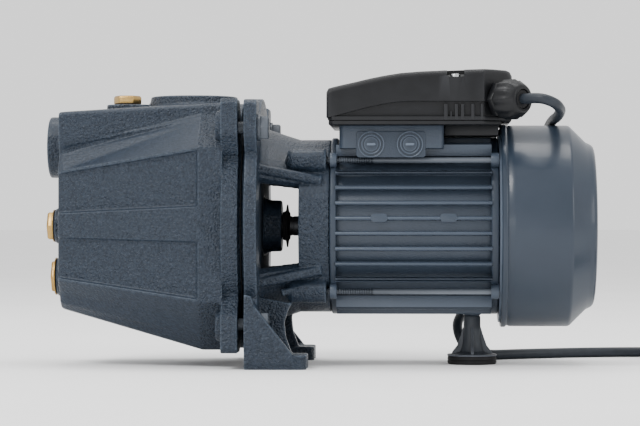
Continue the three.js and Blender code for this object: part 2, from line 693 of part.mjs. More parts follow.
machine.add(
  piece("pump_casing", pumpCasing(), castPaint()),
  piece("casing_gasket", ringX(WET_RADIUS + 0.5, RIM_RADIUS - 0.5, [-50.8, -50.2], MANY), rubber()),
  piece("filling_plug", join(
    alongZ(hexRadius(17), [FILLING_TOP + 1.3, FILLING_TOP + 6.6], FILLING_X, 0, 6),
    alongZ(6.1, [FILLING_TOP - 10, FILLING_TOP + 1.4], FILLING_X, 0, FEW),
  ), brass()),
  piece("filling_plug_washer", turnedZ(closed([
    [FILLING_TOP + 0.1, 6.5], [FILLING_TOP + 0.1, 9.4], [FILLING_TOP + 1.1, 9.4], [FILLING_TOP + 1.1, 6.5],
  ])).translate([FILLING_X, 0, 0]), rubber()),
  piece("front_plug", join(
    alongX(hexRadius(19), [-COWL[1], -187.4], 0, 0, 6),
    alongX(7.9, [-187.5, -176], 0, 0, FEW),
  ), brass()),
  piece("front_plug_washer", washerX(8.3, 11.4, [-187.3, -186.6]), rubber()),
  piece("drain_plug", join(
    alongX(hexRadius(22), [-189, -185.7], 0, DRAIN_HEIGHT, 6),
    alongX(7.9, [-185.8, -172], 0, DRAIN_HEIGHT, FEW),
  ), brass()),
  piece("drain_plug_washer", washerX(8.3, 12.4, [-185.6, -185]).translate([0, 0, DRAIN_HEIGHT]), rubber()),
  piece("ejector_nozzle", ejectorNozzle(), brass()),
  piece("venturi_tube", venturiTube(), palePlastic()),
  piece("diffuser", diffuser(), palePlastic()),
  piece("seal_seat", ringX(8.5, 13.7, [-47.8, -42.3]), palePlastic()),
  piece("pump_bracket", pumpBracket(), castPaint()),
  piece("front_bearing", bearing(SHAFT_RADIUS + GAP, 17.6, [-8, 3]), zincSteel()),
  piece("rear_bearing", bearing(SHAFT_RADIUS + GAP, 17.4, [127, 138]), zincSteel()),
  piece("wave_washer", ringX(12, 17, [138.2, 138.8]), darkSteel()),
  piece("motor_frame", motorFrame(), motorPaint()),
  piece("stator_core", ringX(34.6, 54, [32, 102], MANY), lamination()),
  piece("front_winding", turnedX(closed([
    [18, 38], [15, 42], [15, 48], [18, 51.5], [31.7, 51.5], [31.7, 38],
  ])), copper()),
  piece("rear_winding", turnedX(closed([
    [102.3, 38], [102.3, 51.5], [116, 51.5], [119, 48], [119, 42], [116, 38],
  ])), copper()),
  piece("rear_end_shield", endShield(), aluminium()),
  piece("fan_cover", fanCover(), motorPaint()),
  piece("support_foot", supportFoot(), blackPlastic()),
  piece("support_foot_pad", supportPad(), rubber()),
  piece("box_base_plate", boxBasePlate(), blackPlastic()),
  piece("terminal_cover", terminalCover(), blackPlastic()),
  piece("terminal_block", terminalBlock(), palePlastic()),
  piece("run_capacitor", runCapacitor(), blackPlastic()),
  piece("gland_body", glandBody(), blackPlastic()),
  piece("gland_nut", glandNut(), blackPlastic()),
  piece("gland_seal", glandSeal(), rubber()),
);

corners4(LUG_Y, LUG_Z).forEach(([y, z], place) => {
  machine.add(piece(`casing_bolt_${place + 1}`, casingBolt(y, z), zincSteel()));
  machine.add(piece(
    `casing_bolt_washer_${place + 1}`,
    washerX(4.4, 8.8, [BRACKET_FLANGE[1] + 0.1, -37.1]).translate([0, y, z]),
    zincSteel(),
  ));
});
corners4(ROD.y, ROD.z).forEach(([y, z], place) => {
  machine.add(piece(`tie_rod_${place + 1}`, tieRod(y, z), zincSteel()));
});
[-1, 1].forEach((side, place) => {
  machine.add(piece(`cover_screw_${place + 1}`, coverScrew(side), zincSteel()));
});

// Everything that turns with the shaft
const rotor = new THREE.Group();
machine.add(rotor);
rotor.add(
  piece("rotor_shaft", rotorShaft(), darkSteel()),
  piece("rotor_core", ringX(SHAFT_RADIUS + GAP, 34.1, [32, 102]), lamination()),
  piece("impeller", impeller(), brass()),
  piece("impeller_nut", cut(
    alongX(hexRadius(15), [-86.5, -79.7], 0, 0, 6),
    alongX(5.2, [-88, -79], 0, 0, SIDES),
  ), brass()),
  piece("seal_ring", ringX(SHAFT_RADIUS + GAP, 13, [-51, -48.1]), darkSteel()),
  piece("seal_spring", sealSpring(), zincSteel()),
  piece("slinger", turnedX(closed([
    [-25.4, 7.3], [-25.4, 9.5], [-23.2, 15], [-22.4, 15], [-21.4, 9.5], [-21.4, 7.3],
  ])), rubber()),
  piece("cooling_fan", coolingFan(), blackPlastic()),
);

// The lead and its plug, measured from the ground
pump.add(
  piece("power_cable", leadTube(LEAD_ROUTE, 52), rubber()),
  piece("cable_coil", leadCoil(), rubber()),
  piece("cable_tail", leadTube(TAIL_ROUTE, 5), rubber()),
  piece("plug_body", plugBody(), rubber()),
  piece("plug_pin_1", plugPin(-1), zincSteel()),
  piece("plug_pin_2", plugPin(1), zincSteel()),
);

export default pump;
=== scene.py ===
"""Looks of the shallow well jet pump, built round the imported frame.

Objects are in metres. Shapes are drawn in millimetres, with heights from the shaft's axis. +X runs along the
shaft to the fan.
"""
import json
import math

import bmesh
import bpy
from mathutils import Euler, Matrix, Vector


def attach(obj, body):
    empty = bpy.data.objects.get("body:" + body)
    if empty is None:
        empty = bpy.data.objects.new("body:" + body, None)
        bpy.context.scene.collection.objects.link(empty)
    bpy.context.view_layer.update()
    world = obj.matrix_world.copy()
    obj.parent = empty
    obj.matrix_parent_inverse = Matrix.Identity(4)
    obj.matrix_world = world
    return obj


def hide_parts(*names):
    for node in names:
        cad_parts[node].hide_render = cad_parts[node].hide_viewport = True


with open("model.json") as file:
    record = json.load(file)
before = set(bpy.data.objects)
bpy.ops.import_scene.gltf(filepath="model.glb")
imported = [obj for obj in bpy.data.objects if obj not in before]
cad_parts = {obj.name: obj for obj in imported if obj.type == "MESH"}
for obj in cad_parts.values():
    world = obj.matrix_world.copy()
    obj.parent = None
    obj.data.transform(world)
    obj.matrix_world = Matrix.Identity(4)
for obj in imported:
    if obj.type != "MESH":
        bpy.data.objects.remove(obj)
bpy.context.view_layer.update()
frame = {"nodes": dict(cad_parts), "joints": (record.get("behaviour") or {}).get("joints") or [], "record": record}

MM = 0.001
SHAFT = next(j for j in frame["joints"] if j["name"] == "shaft_spin")
AXIS_HEIGHT = SHAFT["pos_m"][2] / MM
GROUND = -AXIS_HEIGHT


# ------------------------------------------------------------------ camera
CAMERA_X = 0.073  # metres: the camera stands opposite this point of the machine
CAMERA_DISTANCE = 1.85
CAMERA_YAW, CAMERA_PITCH = 2.25, 0.28  # degrees
LENS, SENSOR_WIDTH = 147.8, 36


def make_camera():
    data = bpy.data.cameras.new("camera")
    data.lens = LENS
    data.sensor_width = SENSOR_WIDTH
    camera = bpy.data.objects.new("camera", data)
    camera.location = (CAMERA_X, -CAMERA_DISTANCE, AXIS_HEIGHT * MM)
    camera.rotation_euler = Euler((math.radians(90 + CAMERA_PITCH), 0, math.radians(CAMERA_YAW)))
    bpy.context.scene.collection.objects.link(camera)
    bpy.context.scene.camera = camera


# ------------------------------------------------------------------ materials
COLLAR_MIDDLE, COLLAR_REACH = -0.0660, 0.0136  # metres along X: where the casing is rough on its slopes too
SLOPE_DENTS = (  # strength of the dents, from a face that looks straight down (0) to one that looks up (1)
    (0.0, 0.6), (0.2, 0.35), (0.42, 1.0), (0.64, 1.0), (0.7, 0.12), (0.9, 0.12), (0.96, 1.0),
)
MOTTLE_RANGE = {"From Min": 0.3, "From Max": 0.7}
EDGE_WEAR_AND_HIGHLIGHT_RANGE = {"From Min": 0.52, "From Max": 0.62}  # how pointed an edge is where the wear and painted highlight begin, and are full
GLOSS_SPREAD = 0.07
METAL_SPECULAR = 0.5


def node_maker(material):
    tree = material.node_tree

    def add(kind, **values):
        node = tree.nodes.new(kind)
        for key, value in values.items():
            if key in node.inputs:
                node.inputs[key].default_value = value
            else:
                setattr(node, key, value)
        return node

    def link(source, target):
        tree.links.new(source, target)

    return add, link


def mottled(add, link, place, low, high, mottle):
    """Soft patches between two colours."""
    patches = add("ShaderNodeTexNoise", Scale=mottle, Detail=6.0, Roughness=0.6)
    link(place, patches.inputs["Vector"])
    spread = add("ShaderNodeMapRange", **MOTTLE_RANGE)
    link(patches.outputs["Fac"], spread.inputs["Value"])
    colour = add("ShaderNodeMix", data_type="RGBA")
    colour.inputs["A"].default_value = (*low, 1)
    colour.inputs["B"].default_value = (*high, 1)
    link(spread.outputs["Result"], colour.inputs["Factor"])
    return colour.outputs["Result"]


def worn_and_lit_edges(add, link, colour, wear_and_highlight):
    """The colour, turning lighter along sharp edges: partly wear, partly a painted highlight."""
    picked = add("ShaderNodeMapRange", **EDGE_WEAR_AND_HIGHLIGHT_RANGE)
    link(add("ShaderNodeNewGeometry").outputs["Pointiness"], picked.inputs["Value"])
    worn_and_lit = add("ShaderNodeMix", data_type="RGBA")
    worn_and_lit.inputs["B"].default_value = (*wear_and_highlight, 1)
    link(picked.outputs["Result"], worn_and_lit.inputs["Factor"])
    link(colour, worn_and_lit.inputs["A"])
    return worn_and_lit.outputs["Result"]


def uneven_gloss(add, link, place, roughness, mottle):
    gloss = add("ShaderNodeTexNoise", Scale=mottle * 4, Detail=4.0)
    link(place, gloss.inputs["Vector"])
    limits = {"To Min": roughness - GLOSS_SPREAD, "To Max": roughness + GLOSS_SPREAD}
    uneven = add("ShaderNodeMapRange", **limits)
    link(gloss.outputs["Fac"], uneven.inputs["Value"])
    return uneven.outputs["Result"]


def slope_strength(add, link, place):
    """How strong the dents are: by the way the face looks, and in full on the collar."""
    facing = add("ShaderNodeSeparateXYZ")
    link(add("ShaderNodeNewGeometry").outputs["Normal"], facing.inputs["Vector"])
    lifted = add("ShaderNodeMapRange")
    lifted.inputs["From Min"].default_value = -1
    link(facing.outputs["Z"], lifted.inputs["Value"])
    ramp = add("ShaderNodeValToRGB")
    for height, share in SLOPE_DENTS:
        stop = ramp.color_ramp.elements.new(height)
        stop.color = (share, share, share, 1)
    ramp.color_ramp.elements.remove(ramp.color_ramp.elements[0])
    link(lifted.outputs["Result"], ramp.inputs["Fac"])
    along = add("ShaderNodeSeparateXYZ")
    link(place, along.inputs["Vector"])
    on_collar = add("ShaderNodeMath", operation="COMPARE")
    link(along.outputs["X"], on_collar.inputs[0])
    on_collar.inputs[1].default_value = COLLAR_MIDDLE
    on_collar.inputs[2].default_value = COLLAR_REACH
    strength = add("ShaderNodeMath", operation="MAXIMUM")
    link(ramp.outputs["Color"], strength.inputs[0])
    link(on_collar.outputs["Value"], strength.inputs[1])
    return strength.outputs["Value"]


def hammered(add, link, place, cells, cell_depth, smooth_slopes):
    """The dents of hammered paint."""
    pattern = add("ShaderNodeTexNoise", Scale=cells, Detail=1.5, Roughness=0.5)
    link(place, pattern.inputs["Vector"])
    dents = add("ShaderNodeBump", Strength=1.0, Distance=cell_depth)
    link(pattern.outputs["Fac"], dents.inputs["Height"])
    if smooth_slopes:
        link(slope_strength(add, link, place), dents.inputs["Strength"])
    return dents.outputs["Normal"]


def surface(name, low, high, roughness, metallic=0.0, mottle=60.0, grain=900.0, depth=0.0001, cells=0.0,
            cell_depth=0.0, wear_and_highlight=None, coat=0.0, specular=0.35, smooth_slopes=False):
    """A procedural finish: mottled colour, uneven gloss, fine grain, and cells where the paint is hammered.

    mottle, grain and cells are the scales of their noise, finer as they grow. The depths are in metres.
    """
    material = bpy.data.materials.new(name)
    material.use_nodes = True
    add, link = node_maker(material)
    shader = material.node_tree.nodes["Principled BSDF"]
    shader.inputs["Metallic"].default_value = metallic
    shader.inputs["Coat Weight"].default_value = coat
    shader.inputs["Specular IOR Level"].default_value = METAL_SPECULAR if metallic else specular
    place = add("ShaderNodeTexCoord").outputs["Object"]
    colour = mottled(add, link, place, low, high, mottle)
    # Sharp edges get a lighter colour: partly wear, partly a painted highlight.
    if wear_and_highlight:
        colour = worn_and_lit_edges(add, link, colour, wear_and_highlight)
    link(colour, shader.inputs["Base Color"])
    link(uneven_gloss(add, link, place, roughness, mottle), shader.inputs["Roughness"])
    fine = add("ShaderNodeTexNoise", Scale=grain, Detail=3.0)
    link(place, fine.inputs["Vector"])
    bump = add("ShaderNodeBump", Strength=1.0, Distance=depth)
    link(fine.outputs["Fac"], bump.inputs["Height"])
    if cells:
        link(hammered(add, link, place, cells, cell_depth, smooth_slopes), bump.inputs["Normal"])
    link(bump.outputs["Normal"], shader.inputs["Normal"])
    return material


CAST = surface("cast_paint", (0.0065, 0.012, 0.021), (0.022, 0.033, 0.051), 0.38, mottle=520, grain=1300,
               depth=0.0002, cells=640, cell_depth=0.0019, wear_and_highlight=(0.10, 0.13, 0.17), specular=0.28,
               smooth_slopes=True)
MACHINED_CAST = surface("machined_cast", (0.10, 0.10, 0.10), (0.2, 0.2, 0.2), 0.4, metallic=0.9, grain=2500)
FRAME_PAINT = surface("frame_paint", (0.013, 0.021, 0.034), (0.019, 0.029, 0.045), 0.38, mottle=40,
                      grain=700, depth=0.00006, cells=1000, cell_depth=0.0002, wear_and_highlight=(0.085, 0.11, 0.15))
COVER_PAINT = surface("cover_paint", (0.015, 0.024, 0.038), (0.019, 0.029, 0.045), 0.32, mottle=25,
                      grain=1500, depth=0.00002, coat=0.1)
BLACK_PLASTIC = surface("black_plastic", (0.0032, 0.0036, 0.0045), (0.0065, 0.007, 0.0085), 0.45, mottle=120,
                        grain=2600, depth=0.00008, wear_and_highlight=(0.02, 0.021, 0.024), specular=0.22)
GLAND_PLASTIC = surface("gland_plastic", (0.0035, 0.004, 0.005), (0.006, 0.0065, 0.008), 0.38, mottle=160,
                        grain=2200, depth=0.00004, specular=0.25)
CABLE_RUBBER = surface("cable_rubber", (0.010, 0.014, 0.020), (0.016, 0.021, 0.029), 0.45, mottle=180,
                       grain=2400, depth=0.00005, specular=0.3)
RUBBER = surface("rubber", (0.006, 0.006, 0.007), (0.011, 0.011, 0.012), 0.7, mottle=150, grain=1800,
                 depth=0.00008, specular=0.25)
POST_PLASTIC = surface("post_plastic", (0.028, 0.033, 0.041), (0.040, 0.046, 0.055), 0.5, mottle=140,
                       grain=2000, depth=0.00006, wear_and_highlight=(0.09, 0.10, 0.12))
BRASS = surface("brass", (0.19, 0.095, 0.022), (0.36, 0.21, 0.06), 0.36, metallic=1, mottle=220, grain=2600,
                depth=0.00005, wear_and_highlight=(0.7, 0.5, 0.2))
ZINC = surface("zinc_steel", (0.33, 0.34, 0.35), (0.52, 0.53, 0.54), 0.34, metallic=1, mottle=300, grain=2600,
               depth=0.00003)
BLACK_STEEL = surface("blackened_steel", (0.011, 0.016, 0.024), (0.021, 0.029, 0.041), 0.42, metallic=0.1,
                      mottle=260, grain=2400, depth=0.00004, wear_and_highlight=(0.13, 0.15, 0.18))
DARK_STEEL = surface("dark_steel", (0.022, 0.024, 0.028), (0.045, 0.048, 0.054), 0.45, metallic=0.5,
                     mottle=240, grain=2600, depth=0.00003)
SHADED_CAST = surface("shaded_cast", (0.010, 0.014, 0.020), (0.018, 0.024, 0.033), 0.9, mottle=90, grain=1300,
                      depth=0.0002, cells=620, cell_depth=0.0008, specular=0.05)
PALE_PLASTIC = surface("pale_plastic", (0.50, 0.47, 0.40), (0.58, 0.55, 0.48), 0.5, mottle=80, grain=2000)
ALUMINIUM = surface("bare_aluminium", (0.40, 0.40, 0.41), (0.55, 0.55, 0.56), 0.42, metallic=1, grain=1500)
COPPER = surface("copper_wire", (0.42, 0.15, 0.06), (0.6, 0.25, 0.1), 0.38, metallic=1, grain=1700,
                 depth=0.0003)
FLOOR = surface("floor", (0.88, 0.88, 0.88), (0.92, 0.92, 0.92), 0.85, mottle=3, grain=120, depth=0.00002)

SLOT_FINISH = {
    "cast_paint": CAST, "frame_paint": FRAME_PAINT, "cover_paint": COVER_PAINT, "rubber": RUBBER,
    "cable_rubber": CABLE_RUBBER, "brass": BRASS, "pale_plastic": PALE_PLASTIC, "zinc_steel": ZINC,
    "dark_steel": DARK_STEEL, "copper_wire": COPPER, "bare_aluminium": ALUMINIUM,
    "black_plastic": BLACK_PLASTIC,
}


# ------------------------------------------------------------------ mesh building
AXIS_RADIUS = 0.1  # a turned profile comes this near to its axis


class Shape:
    """Closed skins gathered into one mesh. Lengths are in millimetres, heights from the shaft axis."""

    def __init__(self):
        self.points = []
        self.faces = []

    def skin(self, rings, wrap=False):
        """Quads between rings of equal length. The ends are closed, or wrap joins them to each other."""
        start = len(self.points)
        count = len(rings[0])
        for ring in rings:
            self.points.extend(Vector(point) for point in ring)
        spans = len(rings) if wrap else len(rings) - 1
        for i in range(spans):
            here, there = start + i * count, start + ((i + 1) % len(rings)) * count
            for k in range(count):
                after = (k + 1) % count
                self.faces.append((here + k, here + after, there + after, there + k))
        if not wrap:
            last = start + (len(rings) - 1) * count
            self.faces.append(tuple(range(start + count - 1, start - 1, -1)))
            self.faces.append(tuple(range(last, last + count)))
        return self

    def turned(self, profile, place=(0, 0, 0), along="X", sides=64, loop=False):
        """A profile of (distance along the axis, radius) points turned round an axis through place."""
        rings = []
        for distance, radius in profile:
            ring = []
            for k in range(sides):
                angle = 2 * math.pi * k / sides
                u, v = radius * math.cos(angle), radius * math.sin(angle)
                offset = {"X": (distance, u, v), "Y": (v, distance, u), "Z": (u, v, distance)}[along]
                ring.append(Vector(place) + Vector(offset))
            rings.append(ring)
        return self.skin(rings, wrap=loop)

    def solid(self, profile, place=(0, 0, 0), along="X", sides=64):
        """A turned profile that is full to its axis."""
        ends = [(profile[end][0], AXIS_RADIUS) for end in (0, -1)]
        return self.turned([ends[0], *profile, ends[1]], place, along, sides)

    def rod(self, radius, span, place=(0, 0, 0), along="X", sides=64):
        return self.solid([(span[0], radius), (span[1], radius)], place, along, sides)

    def bore(self, profile, place=(0, 0, 0), along="X", sides=64):
        """A cutter for a bore. It leaves a thread of radius AXIS_RADIUS uncut along the axis."""
        ends = [(profile[end][0], AXIS_RADIUS) for end in (-1, 0)]
        return self.turned([*profile, *ends], place, along, sides, loop=True)

    def tube(self, inner, outer, span, place=(0, 0, 0), along="X", sides=64):
        profile = [(span[0], inner), (span[0], outer), (span[1], outer), (span[1], inner)]
        return self.turned(profile, place, along, sides, loop=True)

    def prism(self, outline, span, along="Y"):
        """An outline drawn across an axis and extruded along it."""
        def at(u, v, distance):
            return {"X": (distance, u, v), "Y": (u, distance, v), "Z": (u, v, distance)}[along]

        return self.skin([[at(u, v, distance) for u, v in outline] for distance in span])

    def box(self, x, y, z):
        return self.prism([(x[0], z[0]), (x[1], z[0]), (x[1], z[1]), (x[0], z[1])], y)

    def moved(self, matrix):
        self.points = [matrix @ point for point in self.points]
        return self

    def add(self, other):
        start = len(self.points)
        self.points.extend(other.points)
        self.faces.extend(tuple(start + i for i in face) for face in other.faces)
        return self

    def object(self, name, material, height=AXIS_HEIGHT):
        mesh = bpy.data.meshes.new(name)
        lift = Vector((0, 0, height))
        mesh.from_pydata([(point + lift) * MM for point in self.points], [], self.faces)
        work = bmesh.new()
        work.from_mesh(mesh)
        bmesh.ops.recalc_face_normals(work, faces=work.faces)
        work.to_mesh(mesh)
        work.free()
        made = bpy.data.objects.new(name, mesh)
        made.data.materials.append(material)
        bpy.context.scene.collection.objects.link(made)
        return made


def modify(made, kind, **values):
    modifier = made.modifiers.new(kind.lower(), kind)
    for key, value in values.items():
        setattr(modifier, key, value)


def settle(made, smooth_angle=35):
    """Applies the modifiers, so the piece is a plain mesh, and shades it smooth except at sharp edges."""
    graph = bpy.context.evaluated_depsgraph_get()
    mesh = bpy.data.meshes.new_from_object(made.evaluated_get(graph))
    made.modifiers.clear()
    made.data = mesh
    mesh.shade_smooth()
    mesh.set_sharp_from_angle(angle=math.radians(smooth_angle))
    return made


def rounded(made, width, segments=2, angle=30):
    """Rounds the piece's edges by width millimetres, where its faces meet at more than angle degrees."""
    modify(made, "BEVEL", width=width * MM, segments=segments, limit_method="ANGLE",
           angle_limit=math.radians(angle), use_clamp_overlap=True)
    return settle(made)


def cast(made, voxel, rounds):
    """Grows the skins of a casting into one, with the soft edges and fillets of a sand casting."""
    modify(made, "REMESH", mode="VOXEL", voxel_size=voxel * MM)
    modify(made, "SMOOTH", factor=0.5, iterations=rounds)
    return settle(made, smooth_angle=180)


def drill(made, cutter):
    """Takes the cutter's skins away from the piece. The cut takes the cutter's material."""
    modify(made, "BOOLEAN", operation="DIFFERENCE", object=cutter, solver="EXACT", material_mode="TRANSFER")
    settle(made, smooth_angle=40)
    bpy.data.objects.remove(cutter)
    return made


def show(made, body, slot, *nodes):
    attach(made, body)
    if nodes:
        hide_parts(*nodes)
    return made


def mix(a, b, share):
    return a + (b - a) * share


def arc(centre, radius, start, end, steps):
    """Points on an arc, in degrees."""
    angles = [math.radians(mix(start, end, k / steps)) for k in range(steps + 1)]
    return [(centre[0] + radius * math.cos(a), centre[1] + radius * math.sin(a)) for a in angles]


def rounded_box_outline(low, high, radius, steps=5):
    (x0, z0), (x1, z1) = low, high
    return (arc((x1 - radius, z1 - radius), radius, 0, 90, steps)
            + arc((x0 + radius, z1 - radius), radius, 90, 180, steps)
            + arc((x0 + radius, z0 + radius), radius, 180, 270, steps)
            + arc((x1 - radius, z0 + radius), radius, 270, 360, steps))


def corners(y, z):
    """Four places round the shaft: near and far above it, then near and far below it."""
    return [(-y, z), (y, z), (-y, -z), (y, -z)]


# ------------------------------------------------------------------ mains lead, with heights from the ground
CABLE_RADIUS = 3.6
COIL_X, COIL_Y, COIL_MEAN = 286.0, 60.0, 40.0
COIL_TURNS, POINTS_PER_TURN = 3.25, 48
TURN_STEP = 2 * CABLE_RADIUS + 0.05
COIL_REST = 0.1  # the coil's gap to the ground
LEAD_ROUTE = [
    (133.5, -59.5, 183), (137.5, -63.1, 183), (141.2, -66.5, 183), (147.8, -72.4, 183.2), (154.5, -76, 182.4),
    (161.5, -73.5, 179.8), (165.5, -63.5, 176.8), (166.5, -48, 174.8), (165.5, -26, 172.4), (164, 0, 171.2),
    (162, 26, 166.7), (159, 48, 154.4), (155, 64.5, 136.5), (150.5, 73.5, 115), (144, 76.5, 92),
    (134.5, 76, 69), (121, 72, 50), (106, 65, 38.5), (98, 56, 27), (100.5, 51, 14.5), (109, 51.5, 6.2),
    (121, 57, 3.8), (140, 68, 3.7), (163, 81, 3.7), (188, 93, 3.7), (214, 101, 3.7), (238, 103.6, 3.7),
    (259.6, 103.6, 3.7),
]
TAIL_ROUTE = [(329.6, 33.5, 10.9), (329.6, 26, 13), (329.6, 18, 16.6), (329.6, 10.4, 18.5), (329.6, 2, 18.5)]
PLUG_X, PLUG_Y, PLUG_RADIUS = COIL_X + COIL_MEAN + CABLE_RADIUS, 5.0, 18.5
PLUG_GRIPS = 6
PIN_OFFSET = 9.5
TIE_ANGLE, TIE_HALF_WIDTH, TIE_HEIGHT = 215, 3.5, 8.25


def smooth_route(points, steps):
    """A Catmull-Rom curve through the given points."""
    padded = [points[0], *points, points[-1]]
    made = []
    for i in range(1, len(padded) - 2):
        p0, p1, p2, p3 = (Vector(p) for p in padded[i - 1:i + 3])
        for k in range(steps):
            t = k / steps
            made.append(0.5 * ((2 * p1) + (p2 - p0) * t + (2 * p0 - 5 * p1 + 4 * p2 - p3) * t ** 2
                               + (3 * p1 - p0 - 3 * p2 + p3) * t ** 3))
    made.append(Vector(points[-1]))
    return made


def ease(value, start, end):
    share = min(max((value - start) / (end - start), 0.0), 1.0)
    return share * share * (3 - 2 * share)


def coil_turns():
    """Three turns and a quarter, clockwise from the far side: out, in, up and out again, one lead apart."""
    points = []
    for k in range(int(COIL_TURNS * POINTS_PER_TURN) + 1):
        gone = k / POINTS_PER_TURN
        inward = ease(gone, 0.90, 1.0) - ease(gone, 2.72, 2.82)
        up = ease(gone, 1.81, 1.91)
        radius = COIL_MEAN + TURN_STEP / 2 - inward * TURN_STEP
        angle = math.radians(90) - 2 * math.pi * gone
        points.append(Vector((
            COIL_X + radius * math.cos(angle),
            COIL_Y + radius * math.sin(angle),
            CABLE_RADIUS + COIL_REST + up * TURN_STEP,
        )))
    return points


def make_lead():
    """The whole lead. The coil's first and last points give way to the routes that lead in and out."""
    points = smooth_route(LEAD_ROUTE, 6) + coil_turns()[4:-3] + smooth_route(TAIL_ROUTE, 5)
    data = bpy.data.curves.new("power_cord", "CURVE")
    data.dimensions = "3D"
    data.bevel_depth = CABLE_RADIUS * MM
    data.bevel_resolution = 5
    data.use_fill_caps = True
    spline = data.splines.new("POLY")
    spline.points.add(len(points) - 1)
    for target, point in zip(spline.points, points):
        target.co = (*(point * MM), 1)
    spline.use_smooth = True
    made = bpy.data.objects.new("power_cord", data)
    data.materials.append(CABLE_RUBBER)
    bpy.context.scene.collection.objects.link(made)
    return made


def at_plug(shape, side=0.0):
    """Turns what is drawn along +X to point along -Y from the plug's cable end."""
    place = Matrix.Translation((PLUG_X + side, PLUG_Y, PLUG_RADIUS))
    return shape.moved(place @ Matrix.Rotation(-math.pi / 2, 4, "Z"))


def make_plug_body():
    full = PLUG_RADIUS
    profile = [(0, 4.2), (0, 5.2)]
    for grip in range(PLUG_GRIPS):
        start = 2 + grip * 4.2
        swell = 5.2 + grip * 0.5
        profile += [(start, swell), (start + 2.2, swell + 0.25), (start + 2.6, swell - 0.7),
                    (start + 3.8, swell - 0.6)]
    profile += [(28, 8.2), (30, 12), (33, 16.2), (37, 18.1), (41, full), (52, full - 1.2), (60, full - 0.6),
                (65, full), (67.6, full - 0.4), (69, full - 2.4), (69, AXIS_RADIUS)]
    body = at_plug(Shape().turned(profile, sides=56))
    plug = settle(body.object("mains_plug", CABLE_RUBBER, height=0), 40)
    return show(plug, "machine", "cable_rubber", "plug_body")


def make_pin(number, side):
    profile = [(60, 2.35), (86, 2.35), (87.4, 1.8), (88, 0.8), (88, AXIS_RADIUS)]
    pin = at_plug(Shape().turned(profile, sides=24), side * PIN_OFFSET)
    pin = settle(pin.object(f"mains_pin_{number}", ZINC, height=0))
    return show(pin, "machine", "zinc_steel", f"plug_pin_{number}")


def make_tie():
    """A strap round the coil's turns."""
    outer = rounded_box_outline((-8.4, -8.1), (8.4, 8.1), 4.2)
    inner = [(u * 0.9, v * 0.9) for u, v in outer]
    edge = TIE_HALF_WIDTH
    sections = [[(u + COIL_MEAN, spread, v) for u, v in outline]
                for spread, outline in ((-edge, outer), (edge, outer), (edge, inner), (-edge, inner))]
    tie = Shape().skin(sections, wrap=True)
    turn = Matrix.Rotation(math.radians(TIE_ANGLE), 4, "Z")
    tie.moved(Matrix.Translation((COIL_X, COIL_Y, TIE_HEIGHT)) @ turn)
    strap = settle(tie.object("coil_tie", RUBBER, height=0))
    return show(strap, "machine", "rubber")


def make_plug():
    return [make_plug_body(), make_pin(1, -1), make_pin(2, 1), make_tie()]


make_camera()
lead = make_lead()
show(lead, "machine", "cable_rubber", "power_cable", "cable_coil", "cable_tail")
on_the_lead = make_plug()


# ------------------------------------------------------------------ pump casing
CASING_FRONT, CASING_BACK = -178.6, -79.0
FLANGE_FRONT, FLANGE_BACK, FLANGE_RADIUS = -63.8, -52.1, 86
SPIGOT_RADIUS = 79.5
SUCTION_Z = 55.3
PORT_FACE = -190.2
DISCHARGE_X, DISCHARGE_TOP = -88.3, 90.8
FILLING_X, FILLING_TOP = -135.7, 85.2
DRAIN_Z = -35.6
PLUG_BORE, PLUG_SHANK = 8.2, 7.9
PANEL_DEPTH, PANEL_LEDGE = 2.4, 0.9
PANEL_END = -79.6
BOLT_Y, BOLT_Z = 72, 66.6
BOLT_BOSS_Z = 68


def casing_half(share, recess):
    """One half of the body's section, top to bottom. The panels are sunk by recess into the sides."""
    def between(front, back):
        return (mix(front[0], back[0], share), mix(front[1], back[1], share))

    side = mix(50, 78, share)
    top, upper = mix(36, 51.4, share), mix(8.4, 13, share)
    lower, bottom = mix(-7.8, -10.5, share), mix(-36, -50, share)
    return [
        between((0, 78.8), (0, 85.6)), between((30, 78.8), (30, 85.4)), between((44.6, 78.6), (44.5, 84)),
        between((46.2, 76.8), (46.4, 82)), between((46.4, 57.5), (47.4, 77.6)),
        between((45.2, 54.8), (48.6, 75.6)), between((42.6, 52), (50.4, 74.2)),
        between((43, 48.8), (54, 71.6)),
        (side, mix(37.5, 53.2, share)),
        (side, top), (side - recess, top - PANEL_LEDGE), (side - recess, upper + PANEL_LEDGE), (side, upper),
        (side, lower), (side - recess, lower - PANEL_LEDGE), (side - recess, bottom + PANEL_LEDGE),
        (side, bottom),
        (side, mix(-37.5, -51.8, share)),
        between((41, -46.5), (63.5, -66)), between((37, -53), (55.5, -75.5)),
        between((31.5, -56.8), (47, -84.6)), between((27, -57.6), (42, -85.5)),
        between((0, -57.6), (0, -85.5)),
    ]


def both_halves(x, half, inset=0.0):
    """A whole section at x, from a half of it drawn in by inset."""
    def shrink(y, z):
        reach = math.hypot(y, z)
        return (y * (1 - inset / reach), z * (1 - inset / reach))

    half = [shrink(y, z) for y, z in half]
    return [(x, y, z) for y, z in half] + [(x, -y, z) for y, z in reversed(half[1:-1])]


def casing_body():
    rings = []
    for x, recess, inset in ((CASING_FRONT, PANEL_DEPTH, 1.2), (CASING_FRONT + 0.7, PANEL_DEPTH, 0.2),
                             (CASING_FRONT + 3.5, PANEL_DEPTH, 0), (PANEL_END - 0.9, PANEL_DEPTH, 0),
                             (PANEL_END, 0, 0)):
        share = (x - CASING_FRONT) / (CASING_BACK - CASING_FRONT)
        rings.append(both_halves(x, casing_half(share, recess), inset))
    rings.append(both_halves(CASING_BACK, casing_half(1, 0)))
    rings.append(both_halves(FLANGE_FRONT + 1, casing_half(1, 0)))
    return Shape().skin(rings)


def lug_outline(y_reach, z_reach):
    """A corner ear, sloped off where it meets the round rim."""
    return [(46, 48), (74, 48), (y_reach - 1.5, 60), (y_reach, 63), (y_reach, z_reach - 3),
            (y_reach - 3, z_reach), (58, z_reach), (48, 76)]


